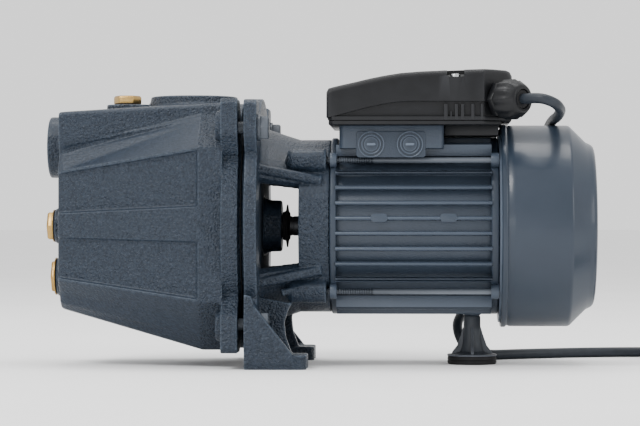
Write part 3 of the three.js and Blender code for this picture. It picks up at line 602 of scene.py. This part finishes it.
def flange(x_span, radius, reach, hole=AXIS_RADIUS):
    """A round flange with four ears that reach out to (y, z)."""
    shape = Shape().tube(hole, radius, x_span, sides=96)
    for side_y in (-1, 1):
        for side_z in (-1, 1):
            outline = [(y * side_y, z * side_z) for y, z in lug_outline(*reach)]
            shape.prism(outline, x_span, along="X")
    return shape


def casing_bores():
    bores = Shape()
    bores.bore([(-200, 16.8), (PORT_FACE + 1.4, 15.4), (-150, 15.2)], (0, 0, SUCTION_Z))
    bores.bore([(60, 15.2), (DISCHARGE_TOP - 1.4, 15.4), (100, 17)], (DISCHARGE_X, 0, 0), along="Z")
    bores.bore([(76, 6.6), (100, 6.6)], (FILLING_X, 0, 0), along="Z", sides=32)
    for height, depth in ((0, -174.0), (DRAIN_Z, -170.0)):
        bores.bore([(-200, PLUG_BORE), (depth, PLUG_BORE)], (0, 0, height), sides=48)
    return bores.object("bores", MACHINED_CAST)


def pump_casing():
    shape = casing_body()
    shape.add(flange((FLANGE_FRONT, FLANGE_BACK), FLANGE_RADIUS, (86.2, 86)))
    shape.rod(SPIGOT_RADIUS, (FLANGE_BACK - 2, -50.6), sides=96)
    for side_y in (-1, 1):
        for side_z in (-1, 1):
            shape.solid([(-67.6, 9), (-66.6, 10), (-62, 11), (-58, 12)],
                        (0, BOLT_Y * side_y, BOLT_BOSS_Z * side_z), sides=32)
    shape.solid([(PORT_FACE, 20.8), (PORT_FACE + 0.8, 21.5), (-178, 21.6), (-172, 23.5), (-160, 23.5)],
                (0, 0, SUCTION_Z))
    shape.solid([(-186.5, 11.6), (-185.7, 12.4), (-178, 12.6), (-174, 14.5), (-170, 14.5)], sides=48)
    shape.solid([(-184.9, 13.1), (-184, 13.9), (-178, 14.1), (-174, 16), (-170, 16)], (0, 0, DRAIN_Z),
                sides=48)
    shape.prism(rounded_box_outline((-149.5, -16), (-118, 16), 9), (66, FILLING_TOP), along="Z")
    shape.solid([(64, 33), (84, 32), (88.6, 30.7), (DISCHARGE_TOP - 0.7, 30.6), (DISCHARGE_TOP, 29.8)],
                (DISCHARGE_X, 0, 0), along="Z", sides=80)
    body = cast(shape.object("casing", CAST), voxel=0.8, rounds=2)
    drill(body, casing_bores())
    show(body, "machine", "cast_paint", "pump_casing")


def hex_head(shape, radius, span, place, along, chamfer):
    """A hexagon with its outer corners turned off by chamfer."""
    low, high = span
    toward = 1 if high > low else -1
    profile = [(low, radius), (high - chamfer * toward, radius),
               (high - chamfer * 0.35 * toward, radius * 0.95), (high, radius * 0.86)]
    return shape.solid(profile, place, along, sides=6)


def brass_plugs():
    filling = Shape()
    above = (FILLING_X, 0, 0)
    hex_head(filling, 9.8, (FILLING_TOP + 1.1, FILLING_TOP + 6.6), above, "Z", 1.4)
    filling.rod(6.2, (FILLING_TOP - 9, FILLING_TOP + 1.2), above, along="Z", sides=32)
    made = rounded(filling.object("filling_plug_brass", BRASS), 0.25)
    show(made, "filling_plug", "brass", "filling_plug")
    front = Shape()
    hex_head(front, 11.0, (-187.3, -192), (0, 0, 0), "X", 1.6)
    front.rod(PLUG_SHANK, (-187.4, -176), sides=32)
    front.tube(7.2, 11.4, (-188.1, -187.3), sides=48)
    show(rounded(front.object("front_plug_brass", BRASS), 0.25), "front_plug", "brass", "front_plug")
    drain = Shape()
    below = (0, 0, DRAIN_Z)
    hex_head(drain, 12.2, (-185.7, -189), below, "X", 1.2)
    drain.rod(13.2, (-186.6, -185.7), below, sides=48)
    drain.rod(PLUG_SHANK, (-185.8, -172), below, sides=32)
    show(rounded(drain.object("drain_plug_brass", BRASS), 0.25), "drain_plug", "brass", "drain_plug")


# ------------------------------------------------------------------ bracket
BRACKET_FRONT, BRACKET_BACK = -48.0, -39.2
RING_FRONT, RING_BACK, RING_RADIUS = -12.3, 8.5, 60.5
SHAFT_HOLE = 8.6
ROD_Y, ROD_Z = 45.5, 45
CONE_STEPS = 24
FOOT_FRONT = -47.8
FOOT_SLOT_Y, FOOT_SLOT_RADIUS = 66, 4.6


def cone_sector(start, end):
    """A part of the cone between flange and motor ring. The windows open left and right of it."""
    rings = []
    for k in range(CONE_STEPS + 1):
        angle = math.radians(mix(start, end, k / CONE_STEPS))
        ring = []
        for x, radius in ((-42, 60), (-42, 71), (-34, 67.2), (-10, 59.5), (-10, 52.5), (-34, 59)):
            ring.append((x, radius * math.cos(angle), radius * math.sin(angle)))
        rings.append(ring)
    return Shape().skin(rings)


def bar_between(a, b, radius):
    a, b = Vector(a), Vector(b)
    turn = (b - a).to_track_quat("X", "Z").to_matrix().to_4x4()
    return Shape().rod(radius, (0, (b - a).length), sides=16).moved(Matrix.Translation(a) @ turn)


def foot(side):
    """A cast foot: a sole with an open slot for its bolt, a plate up to the flange, a cheek and a web."""
    shape = Shape()
    slot_low, slot_high = FOOT_SLOT_Y - FOOT_SLOT_RADIUS, FOOT_SLOT_Y + FOOT_SLOT_RADIUS
    outline = [(FOOT_FRONT, 46), (-8, 46), (-5.9, 48.5), (-5.9, slot_low)]
    outline += arc((-16, FOOT_SLOT_Y), FOOT_SLOT_RADIUS, 270, 90, 8)
    outline += [(-5.9, slot_high), (-5.9, 81), (-9.5, 84.5), (FOOT_FRONT, 84.5)]
    shape.prism([(x, y * side) for x, y in outline], (GROUND, GROUND + 9.8), along="Z")
    plate = [(y * side, z) for y, z in ((46, GROUND), (84.5, GROUND), (84.5, -60), (78, -54), (50, -54))]
    shape.prism(plate, (FOOT_FRONT, -40), along="X")
    cheek = [(FOOT_FRONT, -46), (-43, -47.5), (-40.5, -54), (-15.5, GROUND + 11), (-14, GROUND + 4),
             (FOOT_FRONT, GROUND + 4)]
    shape.prism(cheek, sorted((79.5 * side, 85.5 * side)))
    web = [(-44, -48), (-17, -53), (-19.6, -58), (-22, -66), (-21, -76), (-15.5, GROUND + 6),
           (-44, GROUND + 6)]
    shape.prism(web, sorted((48.5 * side, 55 * side)))
    return shape


def pump_bracket():
    shape = flange((BRACKET_FRONT, BRACKET_BACK), 89.3, (86, 85.5), SHAFT_HOLE)
    shape.tube(SHAFT_HOLE, SPIGOT_RADIUS, (-49.9, -46), sides=96)
    shape.add(cone_sector(29, 151)).add(cone_sector(-151, -29))
    shape.turned([(-41, SHAFT_HOLE), (-41, 22), (-37, 19.2), (-34, 18.2), (-27, 18), (-26.2, 17.2),
                  (-26.2, SHAFT_HOLE)], loop=True)
    shape.tube(47.5, RING_RADIUS, (RING_FRONT, RING_BACK), sides=96)
    shape.tube(SHAFT_HOLE, 50, (RING_FRONT, RING_FRONT + 6))
    for side_y in (-1, 1):
        for side_z in (-1, 1):
            shape.turned([(-21, AXIS_RADIUS), (-20, 6.5), (-17, 8), (6.5, 8), (6.5, AXIS_RADIUS)],
                         (0, ROD_Y * side_y, ROD_Z * side_z), sides=32)
            end_z = 31.0 if side_z > 0 else 30.2
            bar_start, bar_end = (-40, 60.5 * side_y, 39.3 * side_z), (3, 52.6 * side_y, end_z * side_z)
            shape.add(bar_between(bar_start, bar_end, 3.4))
        shape.add(bar_between((-24, 54 * side_y, -46), (5, 47 * side_y, -38), 2.6))
        shape.add(foot(side_y))
    for side_y in (-1, 1):
        shape.box((-40, -33), sorted((30 * side_y, 48 * side_y)), (-74, -52))
    body = cast(shape.object("bracket", CAST), voxel=0.85, rounds=2)
    show(body, "machine", "cast_paint", "pump_bracket")
    wall = Shape().tube(22, 57, (-41, -38.7), sides=96)
    show(rounded(wall.object("bracket_wall", SHADED_CAST), 0.3), "machine", "cast_paint")


def casing_bolts():
    for number, (y, z) in enumerate(corners(BOLT_Y, BOLT_Z), start=1):
        place = (0, y, z)
        bolt = Shape()
        hex_head(bolt, 8.66, (-37, -31.4), place, "X", 1.3)
        bolt.rod(3.9, (-66, -36.5), place, sides=24)
        for thread in range(9):
            x = -51.6 + thread * 0.42
            bolt.tube(3.4, 4.15, (x, x + 0.18), place, sides=24)
        made = rounded(bolt.object(f"bolt_{number}", BLACK_STEEL), 0.3)
        show(made, "machine", "zinc_steel", f"casing_bolt_{number}")
        washer = Shape().tube(4.4, 9.0, (-39.2, -37.1), place, sides=48)
        made = rounded(washer.object(f"washer_{number}", BLACK_STEEL), 0.3)
        show(made, "machine", "zinc_steel", f"casing_bolt_washer_{number}")


# ------------------------------------------------------------------ motor
FRAME_FRONT, FRAME_BACK = 9.0, 125.0
FRAME_ENDS = ((FRAME_FRONT, FRAME_FRONT + 4.6), (FRAME_BACK - 5.6, FRAME_BACK))
FIN_COUNT, FIN_PITCH, FIN_CIRCLE, FIN_REACH = 8, 10.4, 63.4, 61.8
BASE_X, BASE_HALF, BASE_Z = (15.4, 87.2), 52.0, (53.0, 68.9)
KNOCK_OUT_X, KNOCK_OUT_Z = (37.4, 63.9), 55.8
FOOT_X = 107.2
COWL_SLOTS = 36


def fin_outline(centre, reach):
    """A fin's section: wide at the root, rounded at the tip."""
    root, tip = 1.7, 1.15
    return [(48, centre - root), (56, centre - root)] + arc((reach - tip, centre), tip, -90, 90, 6) + [
        (56, centre + root), (48, centre + root)]


def motor_frame():
    shape = Shape()
    shape.tube(52, 57, (FRAME_FRONT + 0.2, FRAME_BACK), sides=96)
    whole = (FRAME_FRONT + 3.9, FRAME_BACK - 4.9)
    behind_box = (BASE_X[1] - 4, whole[1])
    for number in range(FIN_COUNT):
        centre = (number - (FIN_COUNT - 1) / 2) * FIN_PITCH
        reach = min(FIN_REACH, math.sqrt(FIN_CIRCLE ** 2 - centre ** 2))
        outline = fin_outline(centre, reach)
        for side in (-1, 1):
            shape.prism([(u * side, v) for u, v in outline], whole, along="X")
            span = whole if side < 0 or abs(centre) > 30 else behind_box
            shape.prism([(v, u * side) for u, v in outline], span, along="X")
    for x0, x1 in FRAME_ENDS:
        shape.turned([(x0, 50), (x0, 61), (x0 + 0.8, 61.8), (x1 - 0.8, 61.8), (x1, 61), (x1, 50)], sides=128,
                     loop=True)
    for side_y in (-1, 1):
        for side_z in (-1, 1):
            for span in FRAME_ENDS:
                shape.tube(2.7, 5.2, span, (0, ROD_Y * side_y, ROD_Z * side_z), sides=32)
    shape.turned([(-62.9, 2.6), (-62.9, 5.6), (-62.2, 6.2), (-52, 6.6), (-52, 2.6)], (FOOT_X, 0, 0),
                 along="Z", sides=32, loop=True)
    for x0 in (37.3, 84.6):
        pad = rounded_box_outline((x0, 2.6), (x0 + 11.4, 8.4), 2.6)
        shape.prism(pad, (-FIN_REACH - 0.2, -52))
        shape.prism(pad, (52, FIN_REACH + 0.2))
    made = rounded(shape.object("motor_body", FRAME_PAINT), 0.35)
    show(made, "machine", "frame_paint", "motor_frame")


def knock_out(rings, x, side):
    """Two raised rings round a raised disc with a bar on it."""
    face = (BASE_HALF + 1.0) * side
    place = (x, 0, KNOCK_OUT_Z)
    for radius in (6.3, 8.6):
        rings.turned([(face - 0.6 * side, radius - 0.5), (face + 0.9 * side, radius - 0.35),
                      (face + 1.1 * side, radius), (face + 0.9 * side, radius + 0.35),
                      (face - 0.6 * side, radius + 0.5)], place, along="Y", sides=48, loop=True)
    rings.solid([(face - 0.6 * side, 4.9), (face + 0.35 * side, 4.7), (face + 0.5 * side, 4.2)], place,
                along="Y", sides=48)
    rings.prism(rounded_box_outline((x - 3.0, 55.0), (x + 3.0, 56.6), 0.7), sorted((face, face + 1.0 * side)))


def terminal_base():
    shape = Shape()
    x0, x1 = BASE_X
    shape.prism(rounded_box_outline((x0, -BASE_HALF), (x1, BASE_HALF), 4.5, 8), BASE_Z, along="Z")
    shape.prism(rounded_box_outline((x0 + 0.5, -37), (x1 - 0.5, 37), 3), (48.5, 54), along="Z")
    for side in (-1, 1):
        span = sorted((BASE_HALF * side * 0.93, (BASE_HALF + 1.0) * side))
        shape.prism(rounded_box_outline((27.2, 46.8), (74.6, 64.8), 2.2), span)
    made = rounded(shape.object("terminal_base", FRAME_PAINT), 0.6, segments=3)
    show(made, "machine", "frame_paint")
    rings = Shape()
    for x in KNOCK_OUT_X:
        for side in (-1, 1):
            knock_out(rings, x, side)
    made = settle(rings.object("knock_outs", FRAME_PAINT))
    show(made, "machine", "frame_paint")
    tray = Shape().box((87.7, 124.8), (-36, 36), (62.2, 69.3))
    show(rounded(tray.object("box_tray", BLACK_PLASTIC), 0.8), "machine", "black_plastic")


def tie_rods():
    for number, (y, z) in enumerate(corners(ROD_Y, ROD_Z), start=1):
        rod = Shape()
        profile = [(-5, 1.7)]
        for thread in range(26):
            x = -4 + thread * 1.6
            profile += [(x, 1.75), (x + 0.4, 2.05), (x + 0.8, 2.05), (x + 1.2, 1.75)]
        profile += [(38, 1.75), (39, 2.1), (132, 2.1)]
        rod.solid(profile, (0, y, z), sides=20)
        hex_head(rod, 3.7, (131.3, 135.3), (0, y, z), "X", 0.8)
        made = settle(rod.object(f"rod_{number}", BLACK_STEEL))
        show(made, "machine", "zinc_steel", f"tie_rod_{number}")


def bend(x, radius, size, angles):
    """Points round a bend in a turned profile. 0 degrees faces outwards and 90 along the axis."""
    angles = [math.radians(a) for a in angles]
    return [(x + size * math.sin(a), radius + size * math.cos(a)) for a in angles]


def fan_cover():
    shape = Shape()
    outer = [(126.8, 68.4), (126.6, 70.2), (127.2, 71), (129.6, 71.1), (130.4, 70.6), (131.0, 69.9),
             (131.8, 69.9), (132.6, 70.4), (136, 70.5), (173, 70.4)]
    outer += bend(173, 66.8, 3.6, (15, 30, 42))
    outer += [(186.4, 58.6)]
    outer += bend(187.6, 53.2, 4.4, (20, 40, 60, 80))
    outer += [(192.0, 49), (192.0, 14), (191.2, 12.6), (190.4, 12.6), (190.2, 49), (187.5, 54), (174, 67.4),
              (140, 68.4)]
    shape.turned(outer, sides=128, loop=True)
    cover = shape.object("fan_cowl", COVER_PAINT)
    slots = Shape()
    for number in range(COWL_SLOTS):
        start = 20 if number % 2 == 0 else 33
        blade = Shape().prism(rounded_box_outline((start, -1.5), (50, 1.5), 1.45), (180, 200), along="X")
        blade.moved(Matrix.Rotation(math.radians(number * 360 / COWL_SLOTS), 4, "X"))
        slots.add(blade)
    drill(cover, slots.object("cowl_slots", COVER_PAINT))
    show(cover, "machine", "cover_paint", "fan_cover")
    centre = Shape().solid([(189.6, 13.6), (191.0, 13.9), (191.8, 13.2), (192.0, 12)])
    show(settle(centre.object("cowl_centre", COVER_PAINT)), "machine", "cover_paint")


def support_foot():
    place = (FOOT_X, 0, 0)
    shape = Shape()
    shape.solid([(-91.3, 17.2), (-90.7, 17.6), (-89.9, 17.2), (-89.6, 12), (-88.2, 8.4), (-84, 6.9),
                 (-76, 6.1), (-64.2, 5.9), (-63, 5.4)], place, along="Z", sides=56)
    for quarter in range(4):
        outline = [(0, -90), (14.4, -90), (13.6, -88), (10.4, -84), (7.6, -76), (5.2, -68), (0, -68)]
        rib = Shape().prism(outline, (-1.1, 1.1))
        rib.moved(Matrix.Translation(place) @ Matrix.Rotation(math.radians(90 * quarter), 4, "Z"))
        shape.add(rib)
    made = rounded(shape.object("foot_post", POST_PLASTIC), 0.5)
    show(made, "machine", "black_plastic", "support_foot")
    pad = Shape().solid([(GROUND, 16.2), (GROUND + 0.6, 17), (GROUND + 2.4, 17.3), (GROUND + 2.9, 16.9),
                         (GROUND + 3.5, 17.3), (-91.6, 17), (-91.3, 16.4)], place, along="Z", sides=56)
    show(settle(pad.object("foot_pad", RUBBER)), "machine", "rubber", "support_foot_pad")


# ------------------------------------------------------------------ rotating parts in the window
def rotor_pieces():
    shaft = Shape().solid([
        (-87, 4.5), (-86.4, 4.8), (-79.3, 4.8), (-79.2, 6), (-57.5, 6), (-57, 6.9), (-19.5, 6.9),
        (-19.2, 6.6), (-18.4, 6.6), (-18.1, 6.9), (163, 6.9), (164, 5.9), (171, 5.9), (172, 5)])
    show(settle(shaft.object("shaft", DARK_STEEL)), "rotor", "dark_steel", "rotor_shaft")
    disc = Shape().turned([
        (-25.8, 7.1), (-25.8, 9.4), (-25.2, 10), (-23.6, 10.6), (-22.9, 14.9), (-22.5, 15.2), (-22.1, 14.9),
        (-21.5, 10.4), (-20.6, 9.2), (-20.6, 7.1)], loop=True)
    show(settle(disc.object("water_slinger", RUBBER)), "rotor", "rubber", "slinger")


# ------------------------------------------------------------------ terminal box
COVER_X = (7.0, 134.0)
COVER_HALF = 62.0
CUT_START = 114.5
GLAND_TURN = math.radians(42)
GLAND_Z = 86.0
FLUTES, POINTS_PER_FLUTE = 12, 6
ROOF = [(7, 92.6), (8.6, 94), (15, 95.6), (26, 98), (36, 100.4), (47, 102.6), (58, 104.3), (71, 105.3),
        (95, 106.3), (120, 107), (130, 106.8), (133, 105.6), (134, 104.2)]
SWOOSH = [(7, 73.5), (12.4, 74.6), (24, 77.8), (34, 80.4), (44, 82.6), (54, 84.2), (64, 84.9), (134, 84.5)]
WALL_RIBS = ((88.4, 2.6, 83), (92, 1.2, 78), (95.6, 2.3, 83), (99.8, 2.3, 83), (106.7, 2.3, 83),
             (113.0, 1.8, 83))  # (x, width, top) of the ribs on the lower wall
SCREW_X, SCREW_Y = 95, 56


def height_at(line, x):
    for (x0, z0), (x1, z1) in zip(line, line[1:]):
        if x <= x1:
            return mix(z0, z1, max(0.0, (x - x0) / (x1 - x0)))
    return line[-1][1]


def near_side(x):
    """How far the cover reaches towards the gland's side, less where its corner is cut off."""
    return COVER_HALF - max(0.0, x - CUT_START) / math.tan(GLAND_TURN)


def cover_skin(x_span, grow, floor_at, roof_drop=0.0, round_top=5.0):
    """A skin across the cover: side wall, rounded top corner, roof, rounded corner and wall again."""
    x0, x1 = x_span
    stations = sorted({x0, x0 + 1.4, x1 - 1.6, x1, CUT_START, CUT_START + 0.8} | {
        x0 + (x1 - x0) * k / 30 for k in range(1, 30)})
    rings = []
    for x in stations:
        pull = 1.6 * (1 - min(1.0, (x - x0) / 1.4)) + 1.6 * (1 - min(1.0, (x1 - x) / 1.6))
        near, far = near_side(x) + grow - pull, COVER_HALF + grow - pull
        roof, floor = height_at(ROOF, x) - roof_drop - pull * 0.6, floor_at(x)
        shoulder = roof - round_top
        ring = [(x, -near, floor)]
        ring += [(x, -near + round_top + u, shoulder + v) for u, v in arc((0, 0), round_top, 180, 90, 5)]
        ring += [(x, far - round_top + u, shoulder + v) for u, v in arc((0, 0), round_top, 90, 0, 5)]
        ring.append((x, far, floor))
        rings.append(ring)
    return Shape().skin(rings)


def cover_plan():
    """The lower wall's outline, with the corner cut off where the gland sits."""
    front, back = COVER_X[0] + 1, COVER_X[1] - 0.4
    return [(front, -COVER_HALF + 3), (COVER_X[0] + 4, -COVER_HALF), (CUT_START, -COVER_HALF),
            (back, -near_side(COVER_X[1])), (back, COVER_HALF - 4), (COVER_X[1] - 4, COVER_HALF),
            (COVER_X[0] + 4, COVER_HALF), (front, COVER_HALF - 3)]


def cover_screw(number, y):
    screw = Shape().solid([(98, 2), (101.3, 2), (101.3, 3.7), (102.6, 3.7), (103.4, 3.2), (103.8, 2)],
                          (SCREW_X, y, 0), along="Z", sides=32)
    made = screw.object(f"screw_{number}", ZINC)
    cross = Shape().box((SCREW_X - 2.6, SCREW_X + 2.6), (y - 0.45, y + 0.45), (102.8, 106))
    cross.box((SCREW_X - 0.45, SCREW_X + 0.45), (y - 2.6, y + 2.6), (102.8, 106))
    cutter = cross.object("cross", ZINC)
    modify(made, "BOOLEAN", operation="DIFFERENCE", object=cutter, solver="EXACT", use_self=True)
    settle(made)
    bpy.data.objects.remove(cutter)
    show(made, "machine", "zinc_steel", f"cover_screw_{number}")


def terminal_cover():
    lower = cover_skin((COVER_X[0] + 2.4, COVER_X[1] - 0.8), -2.6, lambda x: 71.8, roof_drop=3)
    plan = cover_plan()
    lower.prism(plan, (71.9, 74.6), along="Z")
    for x, width, top in WALL_RIBS:
        for side in (-1, 1):
            span = sorted((55 * side, (COVER_HALF + 0.2) * side))
            lower.box((x - width / 2, x + width / 2), span, (71.9, top))
    body = rounded(lower.object("box_cover_lower", BLACK_PLASTIC), 0.5)
    show(body, "machine", "black_plastic", "terminal_cover")
    upper = cover_skin(COVER_X, 0, lambda x: height_at(SWOOSH, x), round_top=4.2)
    upper = rounded(upper.object("box_cover", BLACK_PLASTIC), 0.7, angle=50)
    notches = Shape()
    for side in (-1, 1):
        notches.prism(rounded_box_outline((89.2, 101.4), (101.0, 116), 1.6), sorted((51.4 * side, 66 * side)))
    drill(upper, notches.object("notches", BLACK_PLASTIC))
    show(upper, "machine", "black_plastic")
    plate = Shape().prism([(x - 0.4 if x > 60 else x + 0.4, y * 0.992) for x, y in plan], (69.1, 71.7),
                          along="Z")
    made = rounded(plate.object("box_floor", BLACK_PLASTIC), 0.5)
    gone = Shape().box((126.4, 140), (-70, 70), (60, 71.75)).object("lip_room", BLACK_PLASTIC)
    show(drill(made, gone), "machine", "black_plastic", "box_base_plate")
    cover_screw(1, -SCREW_Y)
    cover_screw(2, SCREW_Y)


def at_gland(shape):
    """Turns what is drawn along +X to stand on the cut-off corner, pointing out of the box."""
    middle = Vector(((CUT_START + COVER_X[1]) / 2, -COVER_HALF + 10.8, GLAND_Z))
    return shape.moved(Matrix.Translation(middle) @ Matrix.Rotation(-GLAND_TURN, 4, "Z"))


def fluted_ring(x, radius, rise):
    """A ring whose flutes stand up by rise over half of their width."""
    count = FLUTES * POINTS_PER_FLUTE
    ring = []
    for k in range(count):
        angle = 2 * math.pi * k / count
        ridge = rise if k % POINTS_PER_FLUTE < POINTS_PER_FLUTE / 2 else 0
        ring.append((x, (radius + ridge) * math.cos(angle), (radius + ridge) * math.sin(angle)))
    return ring


def cable_gland():
    body = Shape()
    hex_head(body, 13.0, (0.6, 5.4), (0, 0, 0), "X", 0.8)
    body.tube(4.4, 7.8, (-9, 0.8), sides=48)
    body.tube(4.4, 8.5, (5, 17.6), sides=48)
    made = rounded(at_gland(body).object("gland_hex", GLAND_PLASTIC), 0.4)
    show(made, "machine", "black_plastic", "gland_body")
    nut = Shape().skin([fluted_ring(x, radius, rise) for x, radius, rise in (
        (5.9, 12.3, 0), (6.4, 12.9, 0.7), (15.2, 13.0, 0.8), (17.2, 12.2, 0.5), (20.4, 10.8, 0),
        (22.0, 9.6, 0), (22.5, 8.6, 0), (22.3, 6.9, 0), (20.5, 6.5, 0), (18.4, 6.6, 0), (18.0, 9.0, 0),
        (5.9, 9.0, 0))], wrap=True)
    cap = settle(at_gland(nut).object("gland_cap", GLAND_PLASTIC), 40)
    show(cap, "machine", "black_plastic", "gland_nut")
    seal = Shape().turned([(17.9, 3.7), (17.9, 6.4), (21.6, 6.3), (22.0, 5.6), (21.8, 3.7)], sides=40,
                          loop=True)
    show(settle(at_gland(seal).object("gland_rubber", RUBBER)), "machine", "rubber", "gland_seal")


# ------------------------------------------------------------------ CAD nodes that stay, floor and light
FLOOR_RADIUS = 60.0  # metres
WORLD_STRENGTH = 1.35


def finish_cad_nodes():
    """Gives each CAD node its slot's finish, but paints the rear end shield like the frame."""
    slots = {part["node"]: part["material_slot"] for part in frame["record"]["subparts"]}
    for name, node in frame["nodes"].items():
        node.data.materials.clear()
        node.data.materials.append(FRAME_PAINT if name == "rear_end_shield" else SLOT_FINISH[slots[name]])


def make_stage():
    """A pale disc, wide enough for its edge to lie at the horizon."""
    points = [(x, y, 0) for x, y in arc((0, 0), FLOOR_RADIUS, 0, 354, 59)]
    mesh = bpy.data.meshes.new("floor")
    mesh.from_pydata(points, [], [tuple(range(len(points)))])
    disc = bpy.data.objects.new("floor", mesh)
    mesh.materials.append(FLOOR)
    bpy.context.scene.collection.objects.link(disc)


def area_light(name, place, target, size, power):
    data = bpy.data.lights.new(name, "AREA")
    data.shape = "RECTANGLE"
    data.size, data.size_y = size
    data.energy = power
    light = bpy.data.objects.new(name, data)
    light.location = place
    light.rotation_euler = (Vector(target) - Vector(place)).to_track_quat("-Z", "Y").to_euler()
    bpy.context.scene.collection.objects.link(light)


def make_light():
    area_light("key", (-1.1, -1.3, 1.9), (0, 0, 0.1), (1.0, 0.8), 38)
    area_light("top", (0.1, 0.25, 2.0), (0, 0, 0.1), (1.6, 0.7), 24)
    area_light("right", (1.9, -1.1, 0.8), (0.05, 0, 0.1), (0.7, 1.2), 10)
    area_light("low", (-0.6, -1.8, 0.25), (-0.05, 0, 0.1), (1.4, 0.3), 4)
    world = bpy.data.worlds.new("studio")
    world.use_nodes = True
    background = world.node_tree.nodes["Background"]
    background.inputs["Color"].default_value = (1, 1, 1, 1)
    background.inputs["Strength"].default_value = WORLD_STRENGTH
    bpy.context.scene.world = world


finish_cad_nodes()
pump_casing()
brass_plugs()
pump_bracket()
casing_bolts()
motor_frame()
terminal_base()
tie_rods()
fan_cover()
support_foot()
rotor_pieces()
terminal_cover()
cable_gland()
make_stage()
make_light()
